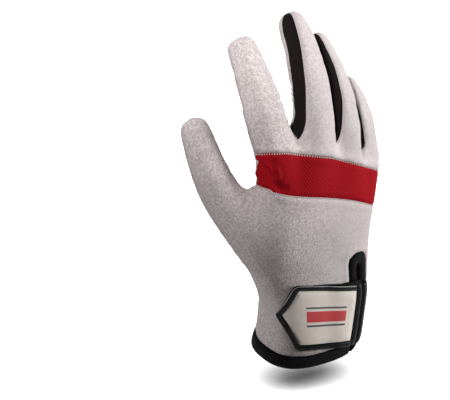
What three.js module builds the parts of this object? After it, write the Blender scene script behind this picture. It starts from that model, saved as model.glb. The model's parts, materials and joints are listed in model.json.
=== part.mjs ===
import * as THREE from 'three'

// A right-hand cricket batting inner glove, standing as worn, fingers up.
// Millimetres. Origin: centre of the wrist opening at the hem. +Z to the fingertips,
// -Y out of the back of the hand, -X to the thumb side.
//
// The whole skin is one net of four-sided cells. Columns run up the hand, rows run
// round it, and each cut piece of the glove is a set of cells given its own wall.

const CLOTH = 1.5           // wall of the towelling and mesh pieces
const SEAM_GAP = 0.3        // clear gap left between neighbouring pieces
const HEM_DIP = { depth: 6, turn: 12, fade: 60 }    // the hem hangs lower on the wrist's back
const WEB_LENGTH = 0.3      // share of a finger in which the slope of its web fades
const PATH_STEPS = 160      // steps in which the axis of a finger is walked

// Columns round the hand, counted from the thumb side of the back
const BACK_PER_FINGER = 4
const PALM_PER_FINGER = 6
const SIDE_COLUMNS = 3
const LITTLE_BACK = 4 * BACK_PER_FINGER
const LITTLE_PALM = LITTLE_BACK + SIDE_COLUMNS
const INDEX_PALM = LITTLE_PALM + 4 * PALM_PER_FINGER
const COLUMNS = INDEX_PALM + SIDE_COLUMNS

// Angles in degrees from the middle of the back, positive towards the little finger
const BACK_HALF_ANGLE = 62
const PALM_START_ANGLE = 118

// Sections of the hand: distances from the axis at each height
const HAND = [
  { z: 0, radial: 35.5, ulnar: 38.2, back: 25.5, palm: 25, squareness: 0.78 },
  { z: 10, radial: 32, ulnar: 41.6, back: 23.6, palm: 25, squareness: 0.74 },
  { z: 22, radial: 30, ulnar: 44.2, back: 21.6, palm: 24.5, squareness: 0.7 },
  { z: 38, radial: 31, ulnar: 48, back: 19.8, palm: 24, squareness: 0.7 },
  { z: 54, radial: 39, ulnar: 50.2, back: 19, palm: 24, squareness: 0.76 },
  { z: 82, radial: 49, ulnar: 51, back: 20.6, palm: 23, squareness: 0.8 },
  { z: 107, radial: 38, ulnar: 56, back: 19.8, palm: 20, squareness: 0.8 },
  { z: 132, radial: 34.5, ulnar: 63, back: 15.8, palm: 17, squareness: 0.8 },
]

// Rows up the hand, and how far each one already takes the shape of the finger roots
const ROWS = [
  { z: 0, roots: 0 },
  { z: 7.5, roots: 0 },
  { z: 12.5, roots: 0 },
  { z: 18.5, roots: 0 },
  { z: 26, roots: 0 },
  { z: 34, roots: 0 },
  { z: 42, roots: 0 },
  { z: 50, roots: 0 },
  { z: 57.5, roots: 0 },
  { z: 64, roots: 0 },
  { z: 73, roots: 0 },
  { z: 83, roots: 0 },
  { z: 93, roots: 0 },
  { z: 103, roots: 0.05 },
  { z: 112, roots: 0.2 },
  { z: 121, roots: 0.42 },
  { z: 130, roots: 0.68 },
]
const TOP_ROW = ROWS.length + 1     // one more row lies half way to the finger roots
const BAND_ROWS = { from: 13, to: 16 }

// How far the band's two edges are lifted: share by row, and mm by column from the index finger
const BAND_LIFTS = [
  {
    edge: 'bottom', rows: [[11, 0], [13, 1], [16, 0]],
    columns: [[-3, 4.5], [-1, 4], [0, 4.5], [2, 3.2], [4, 3.2], [10, 4.1], [16, 1.6], [19, 1], [42, 3]],
  },
  {
    edge: 'top', rows: [[13, 0], [16, 1]],
    columns: [[-3, -1.5], [0, 2.6], [2, 3.4], [4, 1.8], [12, 2.9], [16, 0.8], [19, 0.5], [42, 0.5]],
  },
]

// The knuckle line falls from the index finger to the little finger
const KNUCKLE_LINE = { span: 95, start: 35, linear: 16.4, square: 13.1, middle: 9.2 }
const KNUCKLE_LINE_ROWS = { from: 8, most: 13, all: 16, share: 0.8 }

// Fingers: root of the axis, rise of the web from back to palm, length, bends at root, middle and
// end joint, lean and how far it turns back, roll and share of the round tip. The edges are the
// seams of the side strips, as angles from the middle of the finger's back, by the way along it
const FINGERS = [
  {
    name: 'index', root: [-25.5, 4.5, 148], rise: 3, length: 65,
    bends: [5, 12, 10], lean: -12.5, curve: -5, roll: 14, tip: 0.09,
    width: [[0, 13.6], [0.3, 13.6], [0.7, 10.9], [1, 8.4]],
    depth: [[0, 12], [0.3, 11], [0.7, 9.8], [1, 8.8]],
    thumbEdge: [[0, 56], [1, 48]], littleEdge: [[0, 50], [1, 50]],
  },
  {
    name: 'middle', root: [7, 1, 151], rise: 8, length: 75,
    bends: [7, 13, 12], lean: -5.5, curve: 0, roll: 14, tip: 0.12,
    width: [[0, 13], [0.3, 12.9], [0.5, 12.2], [0.7, 10.8], [1, 7.8]],
    depth: [[0, 12], [0.3, 11.4], [0.7, 10.2], [1, 8.6]],
    thumbEdge: [[0, 82], [0.3, 64], [0.6, 48], [1, 28]], littleEdge: [[0, 54], [1, 52]],
  },
  {
    name: 'ring', root: [32.5, 4, 143], rise: 8, length: 68,
    bends: [10, 15, 12], lean: -7.2, curve: 0, roll: 20, tip: 0.12,
    width: [[0, 11.2], [0.3, 11], [0.7, 9], [1, 7]],
    depth: [[0, 11.6], [0.3, 10.4], [0.7, 8.1], [1, 7]],
    thumbEdge: [[0, 74], [0.15, 56], [0.3, 36], [0.6, 20], [1, 18]], littleEdge: [[0, 50], [1, 48]],
  },
  {
    name: 'little', root: [54.5, 12, 128], rise: 8, length: 49,
    bends: [14, 16, 14], lean: -3, curve: 0, roll: 32, tip: 0.14,
    width: [[0, 12], [0.3, 12.4], [0.7, 10.2], [1, 8.4]],
    depth: [[0, 11], [0.3, 10.4], [0.7, 9.4], [1, 8.2]],
    thumbEdge: [[0, 56], [0.3, 50], [1, 48]], littleEdge: [[0, 56], [0.3, 42], [1, 42]],
  },
]
const PALM_EDGE = [[0, 112], [0.3, 104], [1, 102]]
const INDEX_PALM_EDGE = 242         // on its thumb side the index finger has no strip, only a seam

// The web of each crotch: how far its back point is moved, and how far its palm side is dropped
const CROTCHES = [
  { shift: [1.6, 1, -8.4], drop: 7 },
  { shift: [-1.2, 1, -10.8], drop: 0 },
  { shift: [-8, 1, -7.5], drop: 0 },
]
const JOINT_AT = [0.37, 0.685]      // middle and end joint along a finger
const JOINT_SPREAD = 0.2
const JOINT_CREASE = 1.1            // the palm side folds in at the middle and end joint
const FINGER_STATIONS = [0, 0.07, 0.15, 0.24, 0.31, 0.37, 0.43, 0.52, 0.61, 0.685, 0.76, 0.83]
const TIP_ANGLES = [18, 38, 57, 74]
const TIP_BLUNTNESS = 0.85
const FINGER_SQUARENESS = 0.92

const THUMB = {
  root: [-34.5, 12, 83], length: 88, roll: -20,
  bend: 8, bendMore: 8, bendAt: 0.6, bendSpread: 0.3,
  lean: -38, straighten: 26.5, straightenAt: 0.48, straightenSpread: 0.5,
  width: [[0, 16], [0.3, 14.4], [0.6, 11.6], [0.8, 10.4], [1, 9.2]],
  depth: [[0, 15], [0.3, 13.5], [0.6, 11.5], [0.8, 10], [1, 8.8]],
}
const THUMB_HOLE = { row: 8, rows: 5 }
const THUMB_STATIONS = [0.08, 0.16, 0.24, 0.32, 0.41, 0.5, 0.6, 0.7, 0.79]
const THUMB_ANGLES = [-60, -36, -12, 12, 36, 60, 80, 100, 120, 144, 168, 192, 216, 240, 260, 280]
const THUMB_TIP = 0.12
const THUMB_MERGE = 0.47            // share of its length in which the thumb leaves the hand
// How far the web side of the root follows the thumb, and the point opposite the web
const WEB_REACH = { out: 0.8, up: 0.08, outerPoint: 14.5 }

// The slit at the wrist: its columns, as column and angle, hold below this height
const CUFF_COLUMNS = [[0, -62], [11, 9], [12, 18], [13, 25.5], [14, 31.5], [15, 48], [16, 70]]
const CUFF_COLUMNS_TOP = 66
const CUFF_COLUMNS_FADE = 24
const SLIT = {
  column: 13, topRow: 8, middleLine: 13.5, halfColumns: 1.5,
  binding: 1.2, roundedTop: 6, roundedSide: 3,
}
const HEM = { outward: 0.9, inward: 2.4 }

// The side panel of the cuff, on the palm's thumb side, runs to a point
const SIDE_PANEL = { from: 33, to: 43, topRow: 5, drop: 0.62, fade: 7, rowsAbove: 4 }

// Dents and folds of the cloth as worn: centre and reach on the net, depth in mm
const DENTS = [
  { fold: 'notch of the band, thumb side', row: 15, column: 44, rows: 1, columns: 2, depth: 1.4 },
  { fold: 'hollow beside the notch', row: 13.6, column: 1.5, rows: 1.4, columns: 2.2, depth: 1.2 },
  { fold: 'ridge down the back', row: 11, column: 4.2, rows: 3, columns: 3.2, depth: -2 },
  { fold: 'crease across the heel', row: 6, column: 28, rows: 1.3, columns: 10, depth: 1.7 },
  { fold: 'notch beside the heel', row: 6, column: 18, rows: 1.3, columns: 2.5, depth: 1.2 },
  { fold: 'hollow of the palm', row: 11, column: 31, rows: 4, columns: 8, depth: 2.5 },
  { fold: 'fold below the index finger', row: 15, column: 36, rows: 1.2, columns: 4, depth: 1.2 },
  { fold: 'fold below the little finger', row: 14, column: 24, rows: 1.2, columns: 4, depth: 1.2 },
]

// Ruffles above the hem on the palm side: height in mm, and share of it row by row
const RUFFLES = { from: 19, to: 33, height: 1 }
const RUFFLE_ROWS = [[0, 0], [1, 0.3], [2, 1], [3, 0.8], [5, 0]]

// The strap, sewn on at the little-finger side. Its low and high edge are heights by the way
// along it, at the tip, the shoulder and the far end
const STRAP = {
  length: 70, endAngle: 40, level: 28, binding: 3.8, tipWidth: 3.5, tipFan: 0.12,
  lift: 0.5, liftOverSlit: 1.7, slitFrom: 35, slitFade: 15,
  bindingThickness: 2.6, faceThickness: 1.8,
  low: [[1.8, 30.5], [15, 6.2], [70, 0.6]],
  high: [[1.8, 32.1], [17.8, 52.2], [70, 40]],
  barStart: [[0, 57.2], [42, 59.3]],      // where the end bar begins, by height
  barMiddle: 64,
}
const STRAP_STATIONS = [1.8, 6, 11, 15, 17.8, 19.2, 25, 31, 38, 45, 51.5]
const STRAP_ANGLE_STEP = 0.25

const MATERIALS = {
  towelling: new THREE.MeshStandardMaterial({ color: 0xd9cfcf, roughness: 0.95, metalness: 0 }),
  mesh: new THREE.MeshStandardMaterial({ color: 0xa8141f, roughness: 0.85, metalness: 0 }),
  strip: new THREE.MeshStandardMaterial({ color: 0x1b1517, roughness: 0.85, metalness: 0 }),
  binding: new THREE.MeshStandardMaterial({ color: 0x0d0b0c, roughness: 0.55, metalness: 0 }),
  strapFace: new THREE.MeshStandardMaterial({ color: 0xcdc3b9, roughness: 0.6, metalness: 0 }),
}

const radians = THREE.MathUtils.degToRad
const clamp = THREE.MathUtils.clamp
const lerp = THREE.MathUtils.lerp

function smooth(t) {
  const s = clamp(t, 0, 1)
  return s * s * (3 - 2 * s)
}

// A turn or fade centred at one place and spread round it
function smoothAt(t, centre, spread) {
  return smooth((t - centre) / spread + 0.5)
}

function signedPower(value, power) {
  return Math.sign(value) * Math.abs(value) ** power
}

// Straight-line reading of a table of [position, value] pairs
function readTable(table, position) {
  const last = table.length - 1
  if (position <= table[0][0]) return table[0][1]
  if (position >= table[last][0]) return table[last][1]
  const next = table.findIndex(([at]) => position <= at)
  const [a, from] = table[next - 1]
  const [b, to] = table[next]
  return lerp(from, to, (position - a) / (b - a))
}

// Smooth reading of the hand's sections at a height
function handSection(z) {
  const last = HAND.length - 1
  let i = 0
  while (i < last - 1 && z > HAND[i + 1].z) i += 1
  const a = HAND[i]
  const b = HAND[i + 1]
  const before = HAND[Math.max(0, i - 1)]
  const after = HAND[Math.min(last, i + 2)]
  const height = b.z - a.z
  const t = clamp((z - a.z) / height, 0, 1)
  const read = (key) => {
    const slopeA = ((b[key] - before[key]) / (b.z - before.z)) * height
    const slopeB = ((after[key] - a[key]) / (after.z - a.z)) * height
    const rise = t * t * (3 - 2 * t)
    return a[key] * (1 - rise) + b[key] * rise
      + slopeA * t * (1 - t) * (1 - t) - slopeB * t * t * (1 - t)
  }
  return {
    radial: read('radial'), ulnar: read('ulnar'), back: read('back'), palm: read('palm'),
    squareness: read('squareness'),
  }
}

function hemDip(z, angle) {
  return HEM_DIP.depth * Math.cos(radians(angle + HEM_DIP.turn)) * (1 - smooth(z / HEM_DIP.fade))
}

// A point of the hand's skin at a height and an angle round it
function handPoint(z, angle) {
  const section = handSection(z)
  const sine = Math.sin(radians(angle))
  const cosine = Math.cos(radians(angle))
  const centre = (section.ulnar - section.radial) / 2
  const half = (section.ulnar + section.radial) / 2
  const depth = cosine > 0 ? section.back : section.palm
  return new THREE.Vector3(
    centre + half * signedPower(sine, section.squareness),
    -depth * signedPower(cosine, section.squareness),
    z - hemDip(z, angle),
  )
}

function columnAngle(column, z) {
  const cuff = 1 - smooth((z - CUFF_COLUMNS_TOP) / CUFF_COLUMNS_FADE)
  const corner = lerp(BACK_HALF_ANGLE, readTable(CUFF_COLUMNS, LITTLE_BACK), cuff)
  if (column <= LITTLE_BACK) {
    const even = lerp(-BACK_HALF_ANGLE, BACK_HALF_ANGLE, column / LITTLE_BACK)
    return lerp(even, readTable(CUFF_COLUMNS, column), cuff)
  }
  if (column <= LITTLE_PALM) {
    return lerp(corner, PALM_START_ANGLE, (column - LITTLE_BACK) / SIDE_COLUMNS)
  }
  if (column <= INDEX_PALM) {
    const share = (column - LITTLE_PALM) / (INDEX_PALM - LITTLE_PALM)
    return lerp(PALM_START_ANGLE, 360 - PALM_START_ANGLE, share)
  }
  return lerp(360 - PALM_START_ANGLE, 360 - BACK_HALF_ANGLE, (column - INDEX_PALM) / SIDE_COLUMNS)
}

// The seam of the cuff's side panel pulls its rows down towards the point
function sidePanelDrop(row, column) {
  const { from, to, topRow, drop, fade, rowsAbove } = SIDE_PANEL
  const across = column >= from
    ? clamp((to + 1 - column) / (to + 1 - from), 0, 1)
    : 1 - smooth((from - column) / fade)
  const up = row <= topRow ? 1 : 1 - smooth((row - topRow) / rowsAbove)
  return row === 0 ? 0 : drop * across * up
}

function bandLift(row, column) {
  const beside = column >= INDEX_PALM ? column - COLUMNS : column
  const lifts = BAND_LIFTS.map(({ rows, columns }) => readTable(rows, row) * readTable(columns, beside))
  return lifts[0] + lifts[1]
}

// The top corners of the slit's binding are lowered and turned towards its middle
function isSlitCorner(row, column) {
  return row === SLIT.topRow + 1 && Math.abs(column - SLIT.middleLine) === SLIT.halfColumns
}

function slitCornerTurn(row, column) {
  const inward = Math.sign(SLIT.middleLine - column)
  return isSlitCorner(row, column) ? SLIT.roundedSide * inward : 0
}

function rowHeight(row, column) {
  const level = ROWS[row].z
  const x = handPoint(level, columnAngle(column, level)).x
  const across = (x + KNUCKLE_LINE.start) / KNUCKLE_LINE.span
  const fall = KNUCKLE_LINE.linear * across + KNUCKLE_LINE.square * across * across
  const { from, most, all, share } = KNUCKLE_LINE_ROWS
  const tilt = share * smooth((row - from) / (most - from))
    + (1 - share) * smooth((row - most) / (all - most))
  const bindingTop = ROWS[1].z
  const lowered = bindingTop + (level - bindingTop) * (1 - sidePanelDrop(row, column))
  const rounded = isSlitCorner(row, column) ? SLIT.roundedTop : 0
  const height = row === 0 ? level : lowered
  return height - tilt * (fall - KNUCKLE_LINE.middle) - rounded + bandLift(row, column)
}

function direction(bend, lean) {
  const b = radians(bend)
  const l = radians(lean)
  return new THREE.Vector3(Math.sin(l) * Math.cos(b), Math.sin(b), Math.cos(l) * Math.cos(b))
}

// The path of a finger's axis, with its direction at any share of the length
function axisPath(root, length, directionAt) {
  const steps = PATH_STEPS
  const points = [new THREE.Vector3(...root)]
  const directions = []
  for (let i = 0; i <= steps; i += 1) {
    const heading = directionAt(i / steps)
    directions.push(heading)
    points.push(points[i].clone().addScaledVector(heading, length / steps))
  }
  return (t) => {
    const i = Math.min(steps - 1, Math.floor(t * steps))
    const point = points[i].clone().lerp(points[i + 1], t * steps - i)
    return { point, heading: directions[i], start: points[0], whole: points[i] }
  }
}

// Across and palmward directions of a ring, square to the axis
function ringFrame(heading, roll) {
  const palmward = new THREE.Vector3(0, 1, 0).addScaledVector(heading, -heading.y).normalize()
  const across = new THREE.Vector3().crossVectors(palmward, heading)
  const r = radians(roll)
  const turned = palmward.multiplyScalar(Math.cos(r)).addScaledVector(across, -Math.sin(r))
  return { palmward: turned, across: new THREE.Vector3().crossVectors(turned, heading) }
}

// Stations along a finger with the round tip added, as share of length and shrink
function stationsWithTip(stations, tipShare) {
  const plain = stations.map((t) => ({ t, shrink: 1 }))
  const tip = TIP_ANGLES.map((angle) => ({
    t: 1 - tipShare + tipShare * Math.sin(radians(angle)),
    shrink: Math.cos(radians(angle)) ** TIP_BLUNTNESS,
  }))
  return [...plain, ...tip]
}

// Sixteen angles round a finger: back, little-finger side, palm, thumb side
function fingerAngles(finger, t) {
  const little = readTable(finger.littleEdge, t)
  const palm = readTable(PALM_EDGE, t)
  const thumbPalm = finger.name === 'index' ? INDEX_PALM_EDGE : 360 - palm
  const thumb = 360 - readTable(finger.thumbEdge, t)
  const angles = []
  for (let k = 0; k <= BACK_PER_FINGER; k += 1) {
    angles.push(lerp(thumb - 360, little, k / BACK_PER_FINGER))
  }
  for (let k = 1; k < SIDE_COLUMNS; k += 1) angles.push(lerp(little, palm, k / SIDE_COLUMNS))
  for (let k = 0; k <= PALM_PER_FINGER; k += 1) {
    angles.push(lerp(palm, thumbPalm, k / PALM_PER_FINGER))
  }
  for (let k = 1; k < SIDE_COLUMNS; k += 1) angles.push(lerp(thumbPalm, thumb, k / SIDE_COLUMNS))
  return angles
}

function fingerRings(finger) {
  const [atRoot, atMiddle, atEnd] = finger.bends
  const path = axisPath(finger.root, finger.length, (t) => {
    const bent = atMiddle * smoothAt(t, JOINT_AT[0], JOINT_SPREAD)
      + atEnd * smoothAt(t, JOINT_AT[1], JOINT_SPREAD)
    return direction(atRoot + bent, finger.lean + finger.curve * (1 - 2 * t))
  })
  return stationsWithTip(FINGER_STATIONS, finger.tip).map(({ t, shrink }) => {
    const { point, heading } = path(t)
    const { across, palmward } = ringFrame(heading, finger.roll)
    const width = readTable(finger.width, t) * shrink
    const depth = readTable(finger.depth, t) * shrink
    const slope = (finger.rise * (1 - smooth(t / WEB_LENGTH))) / depth
    const crease = JOINT_AT.includes(t) ? JOINT_CREASE : 0
    return fingerAngles(finger, t).map((angle) => {
      const cosine = Math.cos(radians(angle))
      const reach = cosine < 0 ? depth - crease : depth
      const x = width * signedPower(Math.sin(radians(angle)), FINGER_SQUARENESS)
      const y = -reach * signedPower(cosine, FINGER_SQUARENESS)
      return point.clone().addScaledVector(across, x).addScaledVector(palmward, y)
        .addScaledVector(heading, slope * y)
    })
  })
}

// How far a point of the hand lies under the smooth form, for its dents and ruffles
function sinkAt(row, column) {
  let sink = 0
  for (const dent of DENTS) {
    const beside = Math.abs(column - dent.column)
    const across = Math.min(beside, COLUMNS - beside) / dent.columns
    const up = Math.abs(row - dent.row) / dent.rows
    sink += dent.depth * (1 - smooth(across)) * (1 - smooth(up))
  }
  const { from, to, height } = RUFFLES
  const wave = column > from && column < to ? (-1) ** column : 0
  return sink + wave * height * readTable(RUFFLE_ROWS, row)
}

// The net of the whole skin: points, and cells tagged with where they lie
function buildNet() {
  const points = []
  const cells = []
  const add = (point) => points.push(point.clone()) - 1
  const addCell = (corners, part, row, column) => cells.push({ corners, part, row, column })
  const mean = (a, b, share = 0.5) => a.clone().lerp(b, share)

  const rings = FINGERS.map(fingerRings)
  const palmStart = (finger) => LITTLE_PALM + PALM_PER_FINGER * (3 - finger)

  // The top row of the hand follows the roots of the four fingers
  const top = []
  rings.forEach(([base], finger) => {
    for (let k = 1; k < BACK_PER_FINGER; k += 1) top[BACK_PER_FINGER * finger + k] = base[k]
    for (let k = 1; k < PALM_PER_FINGER; k += 1) top[palmStart(finger) + k] = base[7 + k]
  })
  top[0] = rings[0][0][0]
  top[INDEX_PALM] = rings[0][0][13]
  top[LITTLE_BACK] = rings[3][0][4]
  top[LITTLE_PALM] = rings[3][0][7]
  for (let k = 1; k < SIDE_COLUMNS; k += 1) {
    top[LITTLE_BACK + k] = rings[3][0][4 + k]
    top[INDEX_PALM + k] = rings[0][0][13 + k]
  }
  const crotchPoints = []
  CROTCHES.forEach(({ drop }, finger) => {
    const a = rings[finger][0]
    const b = rings[finger + 1][0]
    const down = new THREE.Vector3(0, 0, -drop)
    top[BACK_PER_FINGER * (finger + 1)] = mean(a[4], b[0], 0.4)
    top[palmStart(finger)] = mean(a[7], b[13]).add(down)
    crotchPoints.push([mean(a[5], b[15]).add(down), mean(a[6], b[14]).add(down)])
  })

  const grid = ROWS.map(({ roots }, row) => {
    const line = []
    for (let column = 0; column < COLUMNS; column += 1) {
      const z = rowHeight(row, column)
      const onHand = handPoint(z, columnAngle(column, z) + slitCornerTurn(row, column))
      const root = top[column]
      onHand.setX(lerp(onHand.x, root.x, roots)).setY(lerp(onHand.y, root.y, roots))
      const inward = new THREE.Vector3(-onHand.x, -onHand.y, 0).normalize()
      line.push(add(onHand.addScaledVector(inward, sinkAt(row, column))))
    }
    return line
  })
  CROTCHES.forEach(({ shift }, finger) => {
    top[BACK_PER_FINGER * (finger + 1)].add(new THREE.Vector3(...shift))
  })
  grid.push(top.map((root, column) => add(mean(root, points[grid.at(-1)[column]]))))
  grid.push(top.map(add))
  const crotch = crotchPoints.map((pair) => pair.map(add))

  const holeTop = THUMB_HOLE.row + THUMB_HOLE.rows
  for (let row = 0; row < TOP_ROW; row += 1) {
    for (let column = 0; column < COLUMNS; column += 1) {
      const inHole = row >= THUMB_HOLE.row && row < holeTop && column >= INDEX_PALM
      const next = (column + 1) % COLUMNS
      const below = grid[row]
      const above = grid[row + 1]
      const corners = [below[column], below[next], above[next], above[column]]
      if (!inHole) addCell(corners, 'hand', row, column)
    }
  }

  const closeTube = (start, rows, pairs, part) => {
    let below = start
    rows.forEach((ring, row) => {
      const above = ring.map(add)
      for (let k = 0; k < above.length; k += 1) {
        const n = (k + 1) % above.length
        addCell([below[k], below[n], above[n], above[k]], part, row, k)
      }
      below = above
    })
    for (let n = 0; n + 1 < pairs.length; n += 1) {
      const [a, b] = pairs[n]
      const [c, d] = pairs[n + 1]
      addCell([below[a], below[b], below[d], below[c]], part, 'tip', n)
    }
  }

  const topRow = grid[TOP_ROW]
  const fingerPairs = [[5, 6], [4, 7], [3, 8], [2, 9], [1, 10], [0, 11], [15, 12], [14, 13]]
  FINGERS.forEach(({ name }, finger) => {
    const base = []
    for (let k = 0; k <= BACK_PER_FINGER; k += 1) base.push(topRow[BACK_PER_FINGER * finger + k])
    if (finger === 3) base.push(topRow[LITTLE_BACK + 1], topRow[LITTLE_BACK + 2])
    else base.push(...crotch[finger])
    for (let k = 0; k <= PALM_PER_FINGER; k += 1) base.push(topRow[palmStart(finger) + k])
    if (finger === 0) base.push(topRow[INDEX_PALM + 1], topRow[INDEX_PALM + 2])
    else base.push(crotch[finger - 1][1], crotch[finger - 1][0])
    closeTube(base, rings[finger].slice(1), fingerPairs, name)
  })

  // The thumb grows out of the hole left in the hand's thumb side
  const hole = []
  for (let n = 0; n < THUMB_HOLE.rows; n += 1) hole.push(grid[THUMB_HOLE.row + n][0])
  for (let n = 0; n < SIDE_COLUMNS; n += 1) hole.push(grid[holeTop][(COLUMNS - n) % COLUMNS])
  for (let n = 0; n < THUMB_HOLE.rows; n += 1) hole.push(grid[holeTop - n][INDEX_PALM])
  for (let n = 0; n < SIDE_COLUMNS; n += 1) hole.push(grid[THUMB_HOLE.row][INDEX_PALM + n])
  const thumbPairs = [[6, 7], [5, 8], [4, 9], [3, 10], [2, 11], [1, 12], [0, 13], [15, 14]]
  closeTube(hole, thumbRings(hole.map((i) => points[i])), thumbPairs, 'thumb')
  return { points, cells }
}

function thumbRings(hole) {
  const path = axisPath(THUMB.root, THUMB.length, (t) => direction(
    THUMB.bend + THUMB.bendMore * smoothAt(t, THUMB.bendAt, THUMB.bendSpread),
    THUMB.lean + THUMB.straighten * smoothAt(t, THUMB.straightenAt, THUMB.straightenSpread),
  ))
  return stationsWithTip(THUMB_STATIONS, THUMB_TIP).map(({ t, shrink }) => {
    const { point, heading, start, whole } = path(t)
    const { across, palmward } = ringFrame(heading, THUMB.roll)
    const width = readTable(THUMB.width, t) * shrink
    const depth = readTable(THUMB.depth, t) * shrink
    const travel = whole.clone().sub(start)
    const merge = smooth(t / THUMB_MERGE)
    return THUMB_ANGLES.map((angle, k) => {
      const round = point.clone().addScaledVector(across, width * Math.sin(radians(angle)))
        .addScaledVector(palmward, -depth * Math.cos(radians(angle)))
      const fromWeb = (k - WEB_REACH.outerPoint) * (360 / hole.length)
      const web = (1 - Math.cos(radians(fromWeb))) / 2
      const out = lerp(1, WEB_REACH.out, web)
      const up = lerp(1, WEB_REACH.up, web)
      const reach = new THREE.Vector3(out, out, up)
      return hole[k].clone().add(reach.multiply(travel)).lerp(round, merge)
    })
  })
}

// Which cut piece of the glove a cell belongs to; the slit itself has none
function pieceOf({ part, row, column }) {
  const strips = ['fourchette_index_middle', 'fourchette_middle_ring', 'fourchette_ring_little']
  if (part === 'hand') return handPiece(row, column)
  if (part === 'thumb') {
    const onPalm = row === 'tip' || (column >= 7 && column < 13)
    return onPalm ? 'palm_panel' : 'hand_back'
  }
  const finger = FINGERS.findIndex(({ name }) => name === part)
  const littleSide = row === 'tip' ? column === 0 : column >= 4 && column < 7
  const thumbSide = row === 'tip' ? column === 6 : column >= 13
  if (littleSide && finger < 3) return strips[finger]
  if (thumbSide && finger > 0) return strips[finger - 1]
  if (row === 'tip') return 'palm_panel'
  if (finger === 3 && column >= 4 && column < 6) return 'finger_back'
  if (finger === 0 && column >= 13) return 'finger_back'
  return column < 4 ? 'finger_back' : 'palm_panel'
}

function handPiece(row, column) {
  const onPalm = column >= LITTLE_BACK + 2 && column < INDEX_PALM
  const nearSlit = Math.abs(column - SLIT.column) <= 1 && row <= SLIT.topRow
  if (row === 0) return column === SLIT.column ? null : 'hem_binding'
  if (nearSlit && column === SLIT.column && row < SLIT.topRow) return null
  if (nearSlit) return 'slit_binding'
  if (onPalm) {
    const { from, to, topRow } = SIDE_PANEL
    return column >= from && column < to && row < topRow ? 'cuff_side_panel' : 'palm_panel'
  }
  if (row < BAND_ROWS.from) return 'hand_back'
  return row < BAND_ROWS.to ? 'knuckle_band' : 'finger_back'
}

function cellNormal(points, [a, b, c, d]) {
  const across = points[c].clone().sub(points[a])
  return across.cross(points[d].clone().sub(points[b])).normalize()
}

function pointNormals(points, cells) {
  const normals = points.map(() => new THREE.Vector3())
  for (const { corners } of cells) {
    const normal = cellNormal(points, corners)
    for (const i of corners) normals[i].add(normal)
  }
  return normals.map((normal) => normal.normalize())
}

// A closed wall from four-sided cells, with its outer and inner points given
function closedWall(quads, outer, inner) {
  const positions = []
  const face = (...corners) => {
    for (let n = 1; n + 1 < corners.length; n += 1) {
      for (const corner of [corners[0], corners[n], corners[n + 1]]) positions.push(...corner)
    }
  }
  const edges = new Map()
  for (const quad of quads) {
    face(...quad.map((i) => outer.get(i).toArray()))
    face(...quad.map((i) => inner.get(i).toArray()).reverse())
    quad.forEach((a, n) => edges.set(`${a}>${quad[(n + 1) % 4]}`, [a, quad[(n + 1) % 4]]))
  }
  for (const [a, b] of edges.values()) {
    if (edges.has(`${b}>${a}`)) continue
    // Both neighbours split a shared seam along the same diagonal
    const side = [inner.get(a), inner.get(b), outer.get(b), outer.get(a)]
    if (a > b) side.push(side.shift())
    face(...side.map((point) => point.toArray()))
  }
  const geometry = new THREE.BufferGeometry()
  geometry.setAttribute('position', new THREE.Float32BufferAttribute(positions, 3))
  geometry.computeVertexNormals()
  return geometry
}

// Pull the border of a piece inwards so that it keeps half the seam gap
function trimmedPoints(points, normals, quads) {
  const directed = new Set()
  for (const quad of quads) quad.forEach((a, n) => directed.add(`${a}>${quad[(n + 1) % 4]}`))
  const pulls = new Map()
  for (const quad of quads) {
    quad.forEach((a, n) => {
      const b = quad[(n + 1) % 4]
      if (directed.has(`${b}>${a}`)) return
      const along = points[b].clone().sub(points[a]).normalize()
      for (const i of [a, b]) {
        const inward = new THREE.Vector3().crossVectors(normals[i], along).normalize()
        pulls.set(i, [...(pulls.get(i) ?? []), inward])
      }
    })
  }
  const trimmed = new Map()
  for (const i of new Set(quads.flat())) {
    const point = points[i].clone()
    const inward = pulls.get(i)
    if (inward) {
      const sum = inward.reduce((total, one) => total.add(one), new THREE.Vector3())
      const along = Math.max(0.5, sum.dot(inward[0]))
      point.addScaledVector(sum, SEAM_GAP / 2 / along)
    }
    trimmed.set(i, point)
  }
  return trimmed
}

function offsetPoints(trimmed, normals, distance) {
  const moved = new Map()
  for (const [i, point] of trimmed) moved.set(i, point.clone().addScaledVector(normals[i], distance))
  return moved
}

function panelGeometry(net, normals, name, outward, inward) {
  const quads = net.cells.filter((cell) => pieceOf(cell) === name).map((cell) => cell.corners)
  const trimmed = trimmedPoints(net.points, normals, quads)
  const outer = offsetPoints(trimmed, normals, outward)
  const inner = offsetPoints(trimmed, normals, -inward)
  return closedWall(quads, outer, inner)
}

// The strap lies along the back of the cuff; this finds the angle at a way along it
function strapAngles() {
  const table = []
  let along = STRAP.length
  let angle = STRAP.endAngle
  let point = handPoint(STRAP.level, angle)
  while (along > 0) {
    table.unshift([along, angle])
    angle -= STRAP_ANGLE_STEP
    const next = handPoint(STRAP.level, angle)
    along -= next.distanceTo(point)
    point = next
  }
  return [[along, angle], ...table]
}

function strapSurface() {
  const angles = strapAngles()
  return (along, height, lift) => {
    const angle = readTable(angles, along)
    const level = height + hemDip(height, angle)
    const point = handPoint(level, angle)
    const round = handPoint(level, angle + 1).sub(handPoint(level, angle - 1))
    const up = handPoint(level + 1, angle).sub(handPoint(level - 1, angle))
    const overSlit = smooth((along - STRAP.slitFrom) / STRAP.slitFade)
    const away = lerp(STRAP.lift, STRAP.liftOverSlit, overSlit) + lift
    return point.addScaledVector(round.cross(up).normalize(), away)
  }
}

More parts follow.
